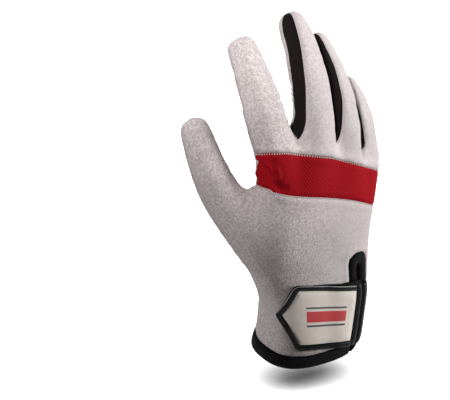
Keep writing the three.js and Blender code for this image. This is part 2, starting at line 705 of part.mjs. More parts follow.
// One edge of the strap at a way along it, set in square to the edge by a margin
function strapEdge(side, along, margin) {
  const [tip, shoulder, far] = STRAP[side]
  const heights = [[tip, shoulder], [shoulder, far]].map(([from, to]) => {
    const slope = (to[1] - from[1]) / (to[0] - from[0])
    const setIn = margin * Math.hypot(1, slope)
    return from[1] + slope * (along - from[0]) + (side === 'low' ? setIn : -setIn)
  })
  return side === 'low' ? Math.max(...heights) : Math.min(...heights)
}

// The way along at which edges set in by a margin stand apart by the width of the blunt tip
function bluntStart(margin) {
  const tip = STRAP.low[0][0]
  const widthAt = (along) => strapEdge('high', along, margin) - strapEdge('low', along, margin)
  return tip + (STRAP.tipWidth - widthAt(tip)) / (widthAt(tip + 1) - widthAt(tip))
}

// Where the end bar begins at a height
function barStart(height) {
  return readTable(STRAP.barStart, height)
}

// A flat piece laid on the strap's surface, from a grid of [along, height] pairs
function laidPiece(surface, gridRows, thickness) {
  const outer = new Map()
  const inner = new Map()
  const quads = []
  const width = gridRows[0].length
  gridRows.forEach((row, r) => row.forEach(([along, height], c) => {
    outer.set(r * width + c, surface(along, height, thickness))
    inner.set(r * width + c, surface(along, height, 0))
    if (r > 0 && c > 0) {
      const here = r * width + c
      quads.push([here - width - 1, here - width, here, here - 1])
    }
  }))
  return closedWall(quads, outer, inner)
}

// The binding runs along the top edge, round the point and back along the bottom edge
function strapBindingGeometry(surface) {
  const start = bluntStart(STRAP.binding)
  const endPoint = (side, margin) => {
    const height = strapEdge(side, barStart(STRAP.level), margin)
    return [barStart(height) - SEAM_GAP, height]
  }
  const line = (side) => {
    const pairs = STRAP_STATIONS.map((along) => {
      const inside = Math.max(along, start + STRAP.tipFan * along)
      return [[inside, strapEdge(side, inside, STRAP.binding)], [along, strapEdge(side, along, 0)]]
    })
    return [...pairs, [endPoint(side, STRAP.binding), endPoint(side, 0)]]
  }
  const strip = [...line('high').reverse(), ...line('low')]
  return laidPiece(surface, strip, STRAP.bindingThickness)
}

// Rows of a piece between the strap's edges, from the low to the high one
function strapRows(stations, margin, shares) {
  return shares.map((share) => stations.map((along) => {
    const low = strapEdge('low', along, margin)
    return [along, lerp(low, strapEdge('high', along, margin), share)]
  }))
}

function strapFaceGeometry(surface) {
  const margin = STRAP.binding + SEAM_GAP
  const start = bluntStart(margin) + SEAM_GAP
  const between = STRAP_STATIONS.filter((along) => along > start + 1)
  const stations = [start, ...between, barStart(STRAP.level)]
  const rows = strapRows(stations, margin, [0, 0.25, 0.5, 0.75, 1])
  for (const row of rows) {
    const [, height] = row.pop()
    row.push([barStart(height) - SEAM_GAP, height])
  }
  return laidPiece(surface, rows, STRAP.faceThickness)
}

function strapEndBarGeometry(surface) {
  const stations = [barStart(STRAP.level), STRAP.barMiddle, STRAP.length]
  const rows = strapRows(stations, 0, [0, 0.2, 0.4, 0.6, 0.8, 1])
  for (const row of rows) {
    const [, height] = row.shift()
    row.unshift([barStart(height), height])
  }
  return laidPiece(surface, rows, STRAP.bindingThickness)
}

const glove = new THREE.Group()

function addPiece(name, geometry, material) {
  const mesh = new THREE.Mesh(geometry, material)
  mesh.name = name
  glove.add(mesh)
}

const PANELS = [
  { name: 'palm_panel', material: MATERIALS.towelling },
  { name: 'finger_back', material: MATERIALS.towelling },
  { name: 'hand_back', material: MATERIALS.towelling },
  { name: 'cuff_side_panel', material: MATERIALS.towelling },
  { name: 'knuckle_band', material: MATERIALS.mesh },
  { name: 'fourchette_index_middle', material: MATERIALS.strip },
  { name: 'fourchette_middle_ring', material: MATERIALS.strip },
  { name: 'fourchette_ring_little', material: MATERIALS.strip },
  { name: 'hem_binding', material: MATERIALS.binding, outward: HEM.outward, inward: HEM.inward },
  { name: 'slit_binding', material: MATERIALS.binding, outward: SLIT.binding, inward: HEM.inward },
]

const net = buildNet()
const normals = pointNormals(net.points, net.cells)
for (const { name, material, outward = 0, inward = CLOTH } of PANELS) {
  addPiece(name, panelGeometry(net, normals, name, outward, inward), material)
}

const surface = strapSurface()
addPiece('strap_binding', strapBindingGeometry(surface), MATERIALS.binding)
addPiece('strap_face', strapFaceGeometry(surface), MATERIALS.strapFace)
addPiece('strap_end_bar', strapEndBarGeometry(surface), MATERIALS.binding)

export default glove
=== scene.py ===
import copy
import json
import math

import bmesh
import bpy
import numpy as np
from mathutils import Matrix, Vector, kdtree, noise

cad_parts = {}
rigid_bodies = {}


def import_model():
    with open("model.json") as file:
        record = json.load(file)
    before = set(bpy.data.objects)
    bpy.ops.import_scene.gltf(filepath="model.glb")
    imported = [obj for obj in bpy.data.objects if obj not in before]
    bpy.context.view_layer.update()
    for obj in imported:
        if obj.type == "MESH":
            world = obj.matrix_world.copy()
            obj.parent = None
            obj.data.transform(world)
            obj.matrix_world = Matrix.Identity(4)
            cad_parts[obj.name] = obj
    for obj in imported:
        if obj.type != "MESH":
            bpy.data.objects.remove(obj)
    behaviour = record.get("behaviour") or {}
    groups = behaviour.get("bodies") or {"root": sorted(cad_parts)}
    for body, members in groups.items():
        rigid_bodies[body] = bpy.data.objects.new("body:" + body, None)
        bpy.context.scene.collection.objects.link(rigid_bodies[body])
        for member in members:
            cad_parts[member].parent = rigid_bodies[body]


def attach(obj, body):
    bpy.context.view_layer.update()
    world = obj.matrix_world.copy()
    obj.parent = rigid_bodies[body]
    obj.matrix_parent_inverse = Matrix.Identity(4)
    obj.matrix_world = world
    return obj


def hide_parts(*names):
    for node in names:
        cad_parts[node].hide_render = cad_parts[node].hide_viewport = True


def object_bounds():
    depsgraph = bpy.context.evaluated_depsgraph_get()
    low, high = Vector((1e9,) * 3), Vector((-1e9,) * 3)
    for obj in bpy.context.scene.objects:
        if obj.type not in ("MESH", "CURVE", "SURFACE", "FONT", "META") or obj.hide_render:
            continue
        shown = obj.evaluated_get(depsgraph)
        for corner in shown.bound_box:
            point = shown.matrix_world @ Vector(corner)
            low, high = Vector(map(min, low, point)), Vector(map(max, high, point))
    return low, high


mm = 0.001

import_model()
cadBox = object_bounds()


def putInScene(name, data):
    thing = bpy.data.objects.new(name, data)
    bpy.context.scene.collection.objects.link(thing)
    return thing


# The camera and the light of the studio

view = {
    "azimuth": -32,
    "elevation": 18,
    "target": (-0.0425, 0.032, 0.100),
    "distance": 0.75,
    "lens": 90.9,
    "sensor": 36,
    "clip": (0.05, 50),
}
studio = {
    "floorDrop": 0.0172,
    "floorSize": 40,
    "floorColor": (0.97, 0.97, 0.97),
    "wallRadius": 8,
    "wallFoot": -1,
    "wallHeight": 6,
    "wallSides": 48,
    "world": (1.0, 0.88, 0.88),
    "worldStrength": 0.05,
    "sunTarget": (0, 0, 0.11),
    "sunDistance": 2,
    "lights": [
        # name, azimuth, elevation, softness in degrees, strength, what it lights
        ("keyLight", 62, 10, 20, 3.0, "glove"),
        ("topLight", 30, 80, 50, 0.65, "glove"),
        ("rimLight", -128, 12, 30, 0.55, "glove"),
        ("backLight", 158, 22, 40, 1.5, "glove"),
        ("floorLight", 20, 88, 95, 4.2, "floor"),
        ("floorLeft", -122, 52, 60, 1.6, "floor"),
        ("floorRight", 58, 52, 60, 1.6, "floor"),
    ],
    # soft spots: one lifts the fingers and the thumb's end, one the wrist's thumb side
    "spots": {
        "fingerLight": {
            "azimuth": -50, "elevation": 25, "distance": 1.2, "target": (-0.05, 0.02, 0.203),
            "cone": 10.2, "blend": 0.55, "size": 0.08, "power": 60,
        },
        "wristLight": {
            "azimuth": -100, "elevation": 6, "distance": 1.2, "target": (-0.02, 0.0, 0.014),
            "cone": 5.5, "blend": 0.8, "size": 0.08, "power": 46,
        },
    },
}


def towards(azimuth, elevation):
    a = math.radians(azimuth)
    e = math.radians(elevation)
    return Vector((math.sin(a) * math.cos(e), -math.cos(a) * math.cos(e), math.sin(e)))


def aim(thing, place, target):
    thing.location = place
    thing.rotation_euler = (target - place).to_track_quat("-Z", "Y").to_euler()


def buildCamera():
    data = bpy.data.cameras.new("camera")
    data.lens = view["lens"]
    data.sensor_width = view["sensor"]
    data.clip_start, data.clip_end = view["clip"]
    camera = putInScene("camera", data)
    target = Vector(view["target"])
    back = towards(view["azimuth"], view["elevation"])
    aim(camera, target + back * view["distance"], target)
    bpy.context.scene.camera = camera


def addLight(data, lit, azimuth, elevation, distance, target):
    light = putInScene(data.name, data)
    light["lights"] = lit
    target = Vector(target)
    aim(light, target + towards(azimuth, elevation) * distance, target)


def buildLights():
    for name, azimuth, elevation, softness, strength, lit in studio["lights"]:
        data = bpy.data.lights.new(name, "SUN")
        data.angle = math.radians(softness)
        data.energy = strength
        addLight(data, lit, azimuth, elevation, studio["sunDistance"], studio["sunTarget"])
    for name, form in studio["spots"].items():
        data = bpy.data.lights.new(name, "SPOT")
        data.energy = form["power"]
        data.spot_size = math.radians(form["cone"])
        data.spot_blend = form["blend"]
        data.shadow_soft_size = form["size"]
        addLight(data, "glove", form["azimuth"], form["elevation"], form["distance"], form["target"])
    world = bpy.data.worlds.new("studio")
    bpy.context.scene.world = world
    world.use_nodes = True
    background = world.node_tree.nodes["Background"]
    background.inputs["Color"].default_value = (*studio["world"], 1)
    background.inputs["Strength"].default_value = studio["worldStrength"]
    bpy.context.scene.view_settings.view_transform = "Standard"


buildCamera()
buildLights()
print("camera and lights are up")

# Nodes and materials


def addNode(tree, kind, settings=None, values=None):
    made = tree.nodes.new(kind)
    for key, value in (settings or {}).items():
        if key == "stops":
            ramp = made.color_ramp
            while len(ramp.elements) < len(value):
                ramp.elements.new(0.5)
            for element, (position, color) in zip(ramp.elements, value):
                element.position = position
                element.color = (*color, 1)
        else:
            setattr(made, key, value)
    for key, value in (values or {}).items():
        feed(tree, made.inputs[key], value)
    return made


def feed(tree, socket, value):
    if isinstance(value, Number):
        value = value.socket
    if isinstance(value, bpy.types.NodeSocket):
        tree.links.new(value, socket)
    else:
        socket.default_value = value


class Number:
    def __init__(self, tree, socket):
        self.tree = tree
        self.socket = socket

    def combine(self, operation, first, second=0.0):
        made = addNode(self.tree, "ShaderNodeMath", {"operation": operation}, {0: first, 1: second})
        return Number(self.tree, made.outputs[0])

    def __add__(self, other):
        return self.combine("ADD", self, other)

    def __radd__(self, other):
        return self.combine("ADD", other, self)

    def __sub__(self, other):
        return self.combine("SUBTRACT", self, other)

    def __rsub__(self, other):
        return self.combine("SUBTRACT", other, self)

    def __mul__(self, other):
        return self.combine("MULTIPLY", self, other)

    def __rmul__(self, other):
        return self.combine("MULTIPLY", other, self)

    def sine(self):
        return self.combine("SINE", self)

    def size(self):
        return self.combine("ABSOLUTE", self)

    def step(self, low, high):
        values = {"Value": self, "From Min": low, "From Max": high}
        made = addNode(self.tree, "ShaderNodeMapRange", {"interpolation_type": "SMOOTHSTEP"}, values)
        return Number(self.tree, made.outputs[0])


class Finish:
    def __init__(self, name, roughness=0.9):
        self.material = bpy.data.materials.new(name)
        self.material.use_nodes = True
        self.tree = self.material.node_tree
        self.tree.nodes.clear()
        self.shader = self.add("ShaderNodeBsdfPrincipled", values={"Roughness": roughness})
        self.add("ShaderNodeOutputMaterial", values={"Surface": self.shader.outputs[0]})
        self.place = self.add("ShaderNodeTexCoord").outputs["Object"]

    def add(self, kind, settings=None, values=None):
        return addNode(self.tree, kind, settings, values)

    def set(self, **values):
        for key, value in values.items():
            feed(self.tree, self.shader.inputs[key.replace("_", " ")], value)

    def noise(self, scale, detail=2, roughness=0.5, place=None):
        values = {"Vector": place or self.place, "Scale": scale, "Detail": detail, "Roughness": roughness}
        return Number(self.tree, self.add("ShaderNodeTexNoise", values=values).outputs[0])

    def stretched(self, scale):
        return self.add("ShaderNodeMapping", values={"Vector": self.place, "Scale": scale}).outputs[0]

    def cells(self, scale):
        made = self.add("ShaderNodeTexVoronoi", values={"Vector": self.place, "Scale": scale})
        return Number(self.tree, made.outputs["Distance"])

    def attribute(self, name):
        made = self.add("ShaderNodeAttribute", {"attribute_name": name})
        return Number(self.tree, made.outputs["Fac"])

    def flat(self):
        uv = self.add("ShaderNodeUVMap", {"uv_map": "cloth"}).outputs[0]
        parts = self.add("ShaderNodeSeparateXYZ", values={0: uv})
        return Number(self.tree, parts.outputs[0]), Number(self.tree, parts.outputs[1])

    def mix(self, share, first, second):
        made = self.add("ShaderNodeMix", {"data_type": "RGBA"}, {0: share, 6: first, 7: second})
        return made.outputs[2]

    def bump(self, height, distance, strength):
        values = {"Height": height, "Distance": distance, "Strength": strength}
        return self.add("ShaderNodeBump", values=values).outputs[0]


def rgb(red, green, blue):
    return (red, green, blue, 1)


towellingLook = {
    "light": rgb(0.77, 0.70, 0.695),
    "dark": rgb(0.47, 0.395, 0.395),
    # the painted shade in the seam grooves
    "seam": rgb(0.40, 0.34, 0.335),
    "grain": 900,
    # the nap is coarse and its dark specks are thick on the thumb side of this, which also paints shade on
    # that side; it is fine and lighter beyond the next
    "shadedCoarseSide": -0.025,
    "litFineSide": 0.02,
    "nap": 500,
    "cloud": 38,
    "rows": (90, 90, 1500),
    "relief": 0.00032,
    "roughness": 0.95,
    "sheen": 0.05,
    "shine": 0.04,
}
redMeshLook = {
    "yarn": rgb(0.40, 0.0065, 0.013),
    "hole": rgb(0.11, 0.002, 0.004),
    "pitch": 1.3,
    "slant": 32,
    "crossSlant": -46,
    # the holes show up to the first line and are faint from the second
    "clearTo": 20,
    "flatFrom": 62,
    "relief": 0.00018,
    "shine": 0.05,
}
# the strips' holes show all over
blackMeshLook = {
    **redMeshLook,
    "yarn": rgb(0.018, 0.0128, 0.0134),
    "hole": rgb(0.003, 0.0022, 0.0024),
    "clearTo": 400,
    "flatFrom": 500,
    "relief": 0.00014,
}


def makeTowelling(name, look, smoothness=0.0):
    finish = Finish(name, look["roughness"])
    grain = finish.noise(look["grain"], 3, 0.65)
    nap = finish.noise(look["nap"], 4, 0.6)
    loops = finish.cells(look["grain"] * 1.2)
    cloud = finish.noise(look["cloud"], 3, 0.55)
    rows = finish.noise(1.0, 2, 0.5, finish.stretched(look["rows"]))
    across = Number(finish.tree, finish.add("ShaderNodeSeparateXYZ", values={0: finish.place}).outputs[0])
    # painted shade: the thumb side gets more dark specks, which darken it, and a coarser bump
    coarseAndShaded = 1 - across.step(look["shadedCoarseSide"], look["litFineSide"]) * 0.6
    speck = (grain * 0.65 + nap * 0.35).step(0.40, 0.60)
    # grain specks of the dark colour, thickened on the thumb side as painted shade
    color = finish.mix(speck * coarseAndShaded * (0.85 - 0.5 * smoothness), look["light"], look["dark"])
    color = finish.mix(rows.step(0.52, 0.72) * 0.22, color, look["dark"])
    color = finish.mix(cloud.step(0.55, 0.75) * 0.2, color, look["dark"])
    # painted shade: the cloth darkens in the seam grooves
    color = finish.mix(finish.attribute("seam") * 0.3, color, look["seam"])
    height = grain * 0.7 + nap * 0.7 - loops * 0.6 + rows * 0.45
    relief = look["relief"] * (1 - 0.6 * smoothness)
    finish.set(Base_Color=color, Normal=finish.bump(height * coarseAndShaded, relief, 0.9))
    finish.set(Sheen_Weight=look["sheen"], Sheen_Roughness=0.5, Specular_IOR_Level=look["shine"])
    return finish.material


def makeMesh(name, look):
    finish = Finish(name, 0.8)
    u, v = finish.flat()
    wave = 2 * math.pi / look["pitch"]

    def ribs(slant):
        turn = math.radians(slant)
        return (u * (math.cos(turn) * wave) + v * (math.sin(turn) * wave)).sine() * 0.5 + 0.5

    rib = ribs(look["slant"])
    cross = ribs(look["crossSlant"])
    holes = ((1 - rib) * (1 - cross)).step(0.18, 0.72)
    worn = finish.noise(300, 3, 0.6)
    flatter = 1 - u.step(look["clearTo"], look["flatFrom"]) * 0.7
    yarn = 1 - holes * 0.75 - (1 - rib) * 0.3
    share = (holes * 0.7 + (1 - rib) * 0.28 + worn * 0.25 - 0.1) * flatter
    color = finish.mix(share.step(0.0, 1.0), look["yarn"], look["hole"])
    finish.set(Base_Color=color, Normal=finish.bump(yarn, look["relief"], 0.8))
    finish.set(Specular_IOR_Level=look["shine"])
    return finish.material


bindingLook = {
    "low": rgb(0.0028, 0.0024, 0.0026),
    "high": rgb(0.0065, 0.0055, 0.0056),
    "grain": 1500,
    "ribs": (500, 500, 2600),
    "cloud": 120,
    "relief": 0.00014,
    "roughness": 0.6,
    "shine": 0.05,
}


def makeBinding(name, look):
    finish = Finish(name)
    grain = finish.noise(look["grain"], 2, 0.6)
    ribs = finish.noise(1.0, 1, 0.5, finish.stretched(look["ribs"]))
    soft = finish.noise(look["cloud"], 2, 0.5)
    color = finish.mix(soft.step(0.35, 0.7), look["low"], look["high"])
    finish.set(Base_Color=color, Normal=finish.bump(grain * 0.5 + ribs * 0.6, look["relief"], 0.6))
    finish.set(Roughness=soft * 0.2 + look["roughness"], Specular_IOR_Level=look["shine"])
    return finish.material


pipingLook = {
    "low": rgb(0.0025, 0.002, 0.0024),
    "high": rgb(0.0055, 0.0045, 0.005),
    "pebble": 1300,
    "crease": 600,
    "wear": 90,
    "relief": 0.00018,
    "roughness": 0.17,
    "coat": 0.0,
    "coatRoughness": 0.22,
    "shine": 0.06,
}
# painted highlight: a pale bead along the piping's outer edge stands for the shine of its rim
paintedHighlightBeadLook = {
    **pipingLook,
    "low": rgb(0.22, 0.20, 0.20),
    "high": rgb(0.42, 0.39, 0.38),
    "roughness": 0.25,
    "coat": 0.3,
}


def makeLeather(name, look):
    finish = Finish(name)
    pebble = finish.cells(look["pebble"])
    crease = finish.noise(look["crease"], 4, 0.6)
    wear = finish.noise(look["wear"], 3, 0.6)
    color = finish.mix(wear.step(0.35, 0.7), look["low"], look["high"])
    finish.set(Base_Color=color, Normal=finish.bump(pebble * 0.6 + crease * 0.6, look["relief"], 0.6))
    finish.set(Roughness=wear * 0.2 + look["roughness"], Specular_IOR_Level=look["shine"])
    finish.set(Coat_Weight=look["coat"], Coat_Roughness=look["coatRoughness"])
    return finish.material


strapPrint = {
    "cream": rgb(0.87, 0.79, 0.715),
    "creamLow": rgb(0.79, 0.71, 0.635),
    "red": rgb(0.50, 0.010, 0.015),
    "black": rgb(0.010, 0.008, 0.009),
    "middle": 17,
    "redHalf": 3.4,
    "lineOffset": 5.6,
    "lineHalf": 0.6,
    "from": 21.0,
    "to": 51.0,
    "blur": 0.1,
    "grain": 1300,
    "wear": 70,
    "relief": 0.00008,
    "coat": 0.08,
}


def makeStrapFace(name, look):
    finish = Finish(name)
    u, v = finish.flat()
    blur = look["blur"]

    def within(value, half):
        return 1 - value.step(half - blur, half + blur)

    grain = finish.cells(look["grain"])
    wear = finish.noise(look["wear"], 3, 0.6)
    color = finish.mix(wear.step(0.35, 0.7), look["cream"], look["creamLow"])
    up = (v - look["middle"]).size()
    inside = u.step(look["from"] - blur, look["from"] + blur) * within(u, look["to"])
    color = finish.mix(within(up, look["redHalf"]) * inside, color, look["red"])
    thinLine = within((up - look["lineOffset"]).size(), look["lineHalf"]) * inside
    color = finish.mix(thinLine, color, look["black"])
    finish.set(Base_Color=color, Normal=finish.bump(grain * 0.6 + wear * 0.3, look["relief"], 0.5))
    finish.set(Roughness=wear * 0.15 + 0.4)
    finish.set(Coat_Weight=look["coat"], Coat_Roughness=0.4)
    return finish.material


threadLook = {"twist": 2600, "relief": 0.00008, "roughness": 0.7, "shade": 0.6, "sheen": 0.2}


def makeThread(name, color):
    look = threadLook
    finish = Finish(name, look["roughness"])
    twist = finish.noise(look["twist"], 2, 0.5)
    shade = finish.mix(twist * 0.4, color, tuple(look["shade"] * c for c in color[:3]) + (1,))
    finish.set(Base_Color=shade, Normal=finish.bump(twist, look["relief"], 0.6))
    finish.set(Sheen_Weight=look["sheen"])
    return finish.material


materials = {
    "towelling": makeTowelling("towelling", towellingLook),
    "cuffCloth": makeTowelling("cuffCloth", towellingLook, smoothness=1.0),
    "redMesh": makeMesh("redMesh", redMeshLook),
    "blackMesh": makeMesh("blackMesh", blackMeshLook),
    "blackBinding": makeBinding("blackBinding", bindingLook),
    "piping": makeLeather("piping", pipingLook),
    # a pale finish that paints the highlight on the piping's rim
    "paintedHighlightBead": makeLeather("paintedHighlightBead", paintedHighlightBeadLook),
    "strapFace": makeStrapFace("strapFace", strapPrint),
    "whiteThread": makeThread("whiteThread", rgb(0.80, 0.74, 0.735)),
    "blackThread": makeThread("blackThread", rgb(0.016, 0.013, 0.014)),
}
print("materials are mixed:", len(materials))

# The skin's net, in millimetres, as the pattern is drawn

handForm = {
    "backPerFinger": 4,
    "palmPerFinger": 6,
    "sideColumns": 3,
    "backHalfAngle": 62,
    "palmStartAngle": 118,
    "hemDip": 6,
    "hemDipTurn": 12,
    "hemDipFade": 60,
    # height, radial, ulnar, back, palm, squareness
    "sections": [
        (0, 35.5, 38.2, 25.5, 25, 0.78),
        (10, 32, 41.6, 23.6, 25, 0.74),
        (22, 30, 44.2, 21.6, 24.5, 0.7),
        (38, 31, 48, 19.8, 24, 0.7),
        (54, 39, 50.2, 19, 24, 0.76),
        (82, 49, 51, 20.6, 23, 0.8),
        (107, 38, 56, 19.8, 20, 0.8),
        (132, 34.5, 63, 15.8, 17, 0.8),
    ],
    # height of the row, and how far it already takes the shape of the finger roots
    "rows": [
        (0, 0), (7.5, 0), (12.5, 0), (18.5, 0), (26, 0), (34, 0), (42, 0), (50, 0), (57.5, 0), (64, 0),
        (73, 0), (83, 0), (93, 0), (103, 0.05), (112, 0.2), (121, 0.42), (130, 0.68),
    ],
    "bandRows": (13, 16),
    "knuckles": {"span": 95, "start": 35, "linear": 16.4, "square": 13.1, "middle": 9.2},
    "knuckleRows": {"from": 8, "most": 13, "all": 16, "share": 0.8},
    # how far the band's two edges are lifted, by the column counted from the index finger
    "bandBottomLift": [
        (-3, 4.5), (-1, 4), (0, 4.5), (2, 3.2), (4, 3.2), (10, 4.1), (16, 1.6), (19, 1), (42, 3),
    ],
    "bandBottomRows": [(11, 0), (13, 1), (16, 0)],
    "bandTopLift": [(-3, -1.5), (0, 2.6), (2, 3.4), (4, 1.8), (12, 2.9), (16, 0.8), (19, 0.5), (42, 0.5)],
    "bandTopRows": [(13, 0), (16, 1)],
    "cuffColumns": [(0, -62), (11, 9), (12, 18), (13, 25.5), (14, 31.5), (15, 48), (16, 70)],
    "cuffColumnsTop": 66,
    "cuffColumnsFade": 24,
    "slitColumn": 13,
    "slitTopRow": 8,
    "slitRounding": 6,
    "slitTurn": 3,
    "sidePanel": {"from": 33, "to": 43, "topRow": 5, "drop": 0.62, "fade": 7, "rowsAbove": 4},
    # row, column, reach in rows and columns, depth
    "dents": [
        (15, 44, 1, 2, 1.4),
        (13.6, 1.5, 1.4, 2.2, 1.2),
        (11, 4.2, 3, 3.2, -2),
        (6, 28, 1.3, 10, 1.7),
        (6, 18, 1.3, 2.5, 1.2),
        (11, 31, 4, 8, 2.5),
        (15, 36, 1.2, 4, 1.2),
        (14, 24, 1.2, 4, 1.2),
    ],
    "ruffles": {"from": 19, "to": 33, "height": 1},
    "ruffleRows": [(0, 0), (1, 0.3), (2, 1), (3, 0.8), (5, 0)],
}
littleBack = 4 * handForm["backPerFinger"]
littlePalm = littleBack + handForm["sideColumns"]
indexPalm = littlePalm + 4 * handForm["palmPerFinger"]
columnCount = indexPalm + handForm["sideColumns"]
topRow = len(handForm["rows"]) + 1

# A finger's ring of columns: where its back ends, and where its palm starts and ends
ringBackEnd = handForm["backPerFinger"]
ringPalmStart = ringBackEnd + handForm["sideColumns"]
ringPalmEnd = ringPalmStart + handForm["palmPerFinger"]
# The points of the last ring that close a tip between them
fingerTipPairs = [(5, 6), (4, 7), (3, 8), (2, 9), (1, 10), (0, 11), (15, 12), (14, 13)]
thumbTipPairs = [(6, 7), (5, 8), (4, 9), (3, 10), (2, 11), (1, 12), (0, 13), (15, 14)]

fingerForm = {
    "jointAt": (0.37, 0.685),
    "jointSpread": 0.2,
    "jointCrease": 1.1,
    "stations": [0, 0.07, 0.15, 0.24, 0.31, 0.37, 0.43, 0.52, 0.61, 0.685, 0.76, 0.83],
    "tipAngles": [18, 38, 57, 74],
    "tipBluntness": 0.85,
    "squareness": 0.92,
    "webLength": 0.3,
    # edges of the side strips as angles round the finger, by the way along it
    "palmEdge": [(0, 112), (0.3, 104), (1, 102)],
    # how far each crotch on the back lies beside and above the mean of its two fingers
    "crotchShift": [(1.6, 1, -8.4), (-1.2, 1, -10.8), (-8, 1, -7.5)],
    "webDrop": (7, 0, 0),
    "crotchShare": 0.4,
    "fingers": [
        {
            "name": "index", "root": (-25.5, 4.5, 148), "rise": 3, "length": 65, "bends": (5, 12, 10),
            "lean": -12.5, "curve": -5, "roll": 14, "tip": 0.09,
            "width": [(0, 13.6), (0.3, 13.6), (0.7, 10.9), (1, 8.4)],
            "depth": [(0, 12), (0.3, 11), (0.7, 9.8), (1, 8.8)],
            "thumbEdge": [(0, 56), (1, 48)], "littleEdge": [(0, 50), (1, 50)],
            "thumbPalm": [(0, 118), (1, 118)],
        },
        {
            "name": "middle", "root": (7, 1, 151), "rise": 8, "length": 75, "bends": (7, 13, 12),
            "lean": -5.5, "curve": 0, "roll": 14, "tip": 0.12,
            "width": [(0, 13), (0.3, 12.9), (0.5, 12.2), (0.7, 10.8), (1, 7.8)],
            "depth": [(0, 12), (0.3, 11.4), (0.7, 10.2), (1, 8.6)],
            "thumbEdge": [(0, 82), (0.3, 64), (0.6, 48), (1, 28)], "littleEdge": [(0, 54), (1, 52)],
            "thumbPalm": [(0, 112), (0.07, 122), (0.35, 122), (0.6, 105), (1, 102)],
        },
        {
            "name": "ring", "root": (32.5, 4, 143), "rise": 8, "length": 68, "bends": (10, 15, 12),
            "lean": -7.2, "curve": 0, "roll": 20, "tip": 0.12,
            "width": [(0, 11.2), (0.3, 11), (0.7, 9.0), (1, 7.0)],
            "depth": [(0, 11.6), (0.3, 10.4), (0.7, 8.1), (1, 7)],
            "thumbEdge": [(0, 74), (0.15, 56), (0.3, 36), (0.6, 20), (1, 18)],
            "littleEdge": [(0, 50), (1, 48)],
        },
        {
            "name": "little", "root": (54.5, 12, 128), "rise": 8, "length": 49, "bends": (14, 16, 14),
            "lean": -3, "curve": 0, "roll": 32, "tip": 0.14,
            "width": [(0, 12), (0.3, 12.4), (0.7, 10.2), (1, 8.4)],
            "depth": [(0, 11), (0.3, 10.4), (0.7, 9.4), (1, 8.2)],
            "thumbEdge": [(0, 56), (0.3, 50), (1, 48)], "littleEdge": [(0, 56), (0.3, 42), (1, 42)],
        },
    ],
}
thumbForm = {
    "root": (-34.5, 12, 83),
    "length": 88,
    "roll": -20,
    "bend": 8,
    "bendMore": 8,
    "bendAt": 0.6,
    "bendSpread": 0.3,
    "lean": -38,
    "straighten": 26.5,
    "straightenAt": 0.48,
    "straightenSpread": 0.5,
    "width": [(0, 16), (0.3, 14.4), (0.6, 11.6), (0.8, 10.4), (1, 9.2)],
    "depth": [(0, 15), (0.3, 13.5), (0.6, 11.5), (0.8, 10), (1, 8.8)],
    "holeRow": 8,
    "holeRows": 5,
    "stations": [0.08, 0.16, 0.24, 0.32, 0.41, 0.5, 0.6, 0.7, 0.79],
    "angles": [-60, -36, -12, 12, 36, 60, 80, 100, 120, 144, 168, 192, 216, 240, 260, 280],
    "tip": 0.12,
    "merge": 0.47,
    "webOut": 0.8,
    "webUp": 0.08,
    "webOuterPoint": 14.5,
}
pathSteps = 160


def smooth(t):
    s = min(1.0, max(0.0, t))
    return s * s * (3 - 2 * s)


def smoothAt(t, centre, spread):
    return smooth((t - centre) / spread + 0.5)


def lerp(a, b, share):
    return a + (b - a) * share


def signedPower(value, power):
    return math.copysign(abs(value) ** power, value)


def readTable(table, position):
    return float(np.interp(position, [row[0] for row in table], [row[1] for row in table]))


def unit(vector):
    return vector / np.linalg.norm(vector)


def handSection(z):
    table = np.array(handForm["sections"], float)
    last = len(table) - 1
    i = int(np.clip(np.searchsorted(table[:, 0], z) - 1, 0, last - 1))
    a = table[i]
    b = table[i + 1]
    before = table[max(0, i - 1)]
    after = table[min(last, i + 2)]
    height = b[0] - a[0]
    t = min(1.0, max(0.0, (z - a[0]) / height))
    slopeA = (b - before) / (b[0] - before[0]) * height
    slopeB = (after - a) / (after[0] - a[0]) * height
    rise = t * t * (3 - 2 * t)
    return (a * (1 - rise) + b * rise + slopeA * t * (1 - t) ** 2 - slopeB * t * t * (1 - t))[1:]


def hemDipAt(z, angle):
    fade = 1 - smooth(z / handForm["hemDipFade"])
    return handForm["hemDip"] * math.cos(math.radians(angle + handForm["hemDipTurn"])) * fade


def handPoint(z, angle):
    radial, ulnar, back, palm, squareness = handSection(z)
    sine = math.sin(math.radians(angle))
    cosine = math.cos(math.radians(angle))
    depth = back if cosine > 0 else palm
    x = (ulnar - radial) / 2 + (ulnar + radial) / 2 * signedPower(sine, squareness)
    return np.array([x, -depth * signedPower(cosine, squareness), z - hemDipAt(z, angle)])


def columnAngle(column, z):
    half = handForm["backHalfAngle"]
    start = handForm["palmStartAngle"]
    cuff = 1 - smooth((z - handForm["cuffColumnsTop"]) / handForm["cuffColumnsFade"])
    corner = lerp(half, readTable(handForm["cuffColumns"], littleBack), cuff)
    if column <= littleBack:
        even = lerp(-half, half, column / littleBack)
        return lerp(even, readTable(handForm["cuffColumns"], column), cuff)
    if column <= littlePalm:
        return lerp(corner, start, (column - littleBack) / handForm["sideColumns"])
    if column <= indexPalm:
        return lerp(start, 360 - start, (column - littlePalm) / (indexPalm - littlePalm))
    return lerp(360 - start, 360 - half, (column - indexPalm) / handForm["sideColumns"])


def sidePanelDrop(row, column):
    panel = handForm["sidePanel"]
    if column >= panel["from"]:
        width = panel["to"] + 1 - panel["from"]
        across = min(1.0, max(0.0, (panel["to"] + 1 - column) / width))
    else:
        across = 1 - smooth((panel["from"] - column) / panel["fade"])
    above = 1 - smooth((row - panel["topRow"]) / panel["rowsAbove"])
    up = 1 if row <= panel["topRow"] else above
    return 0 if row == 0 else panel["drop"] * across * up


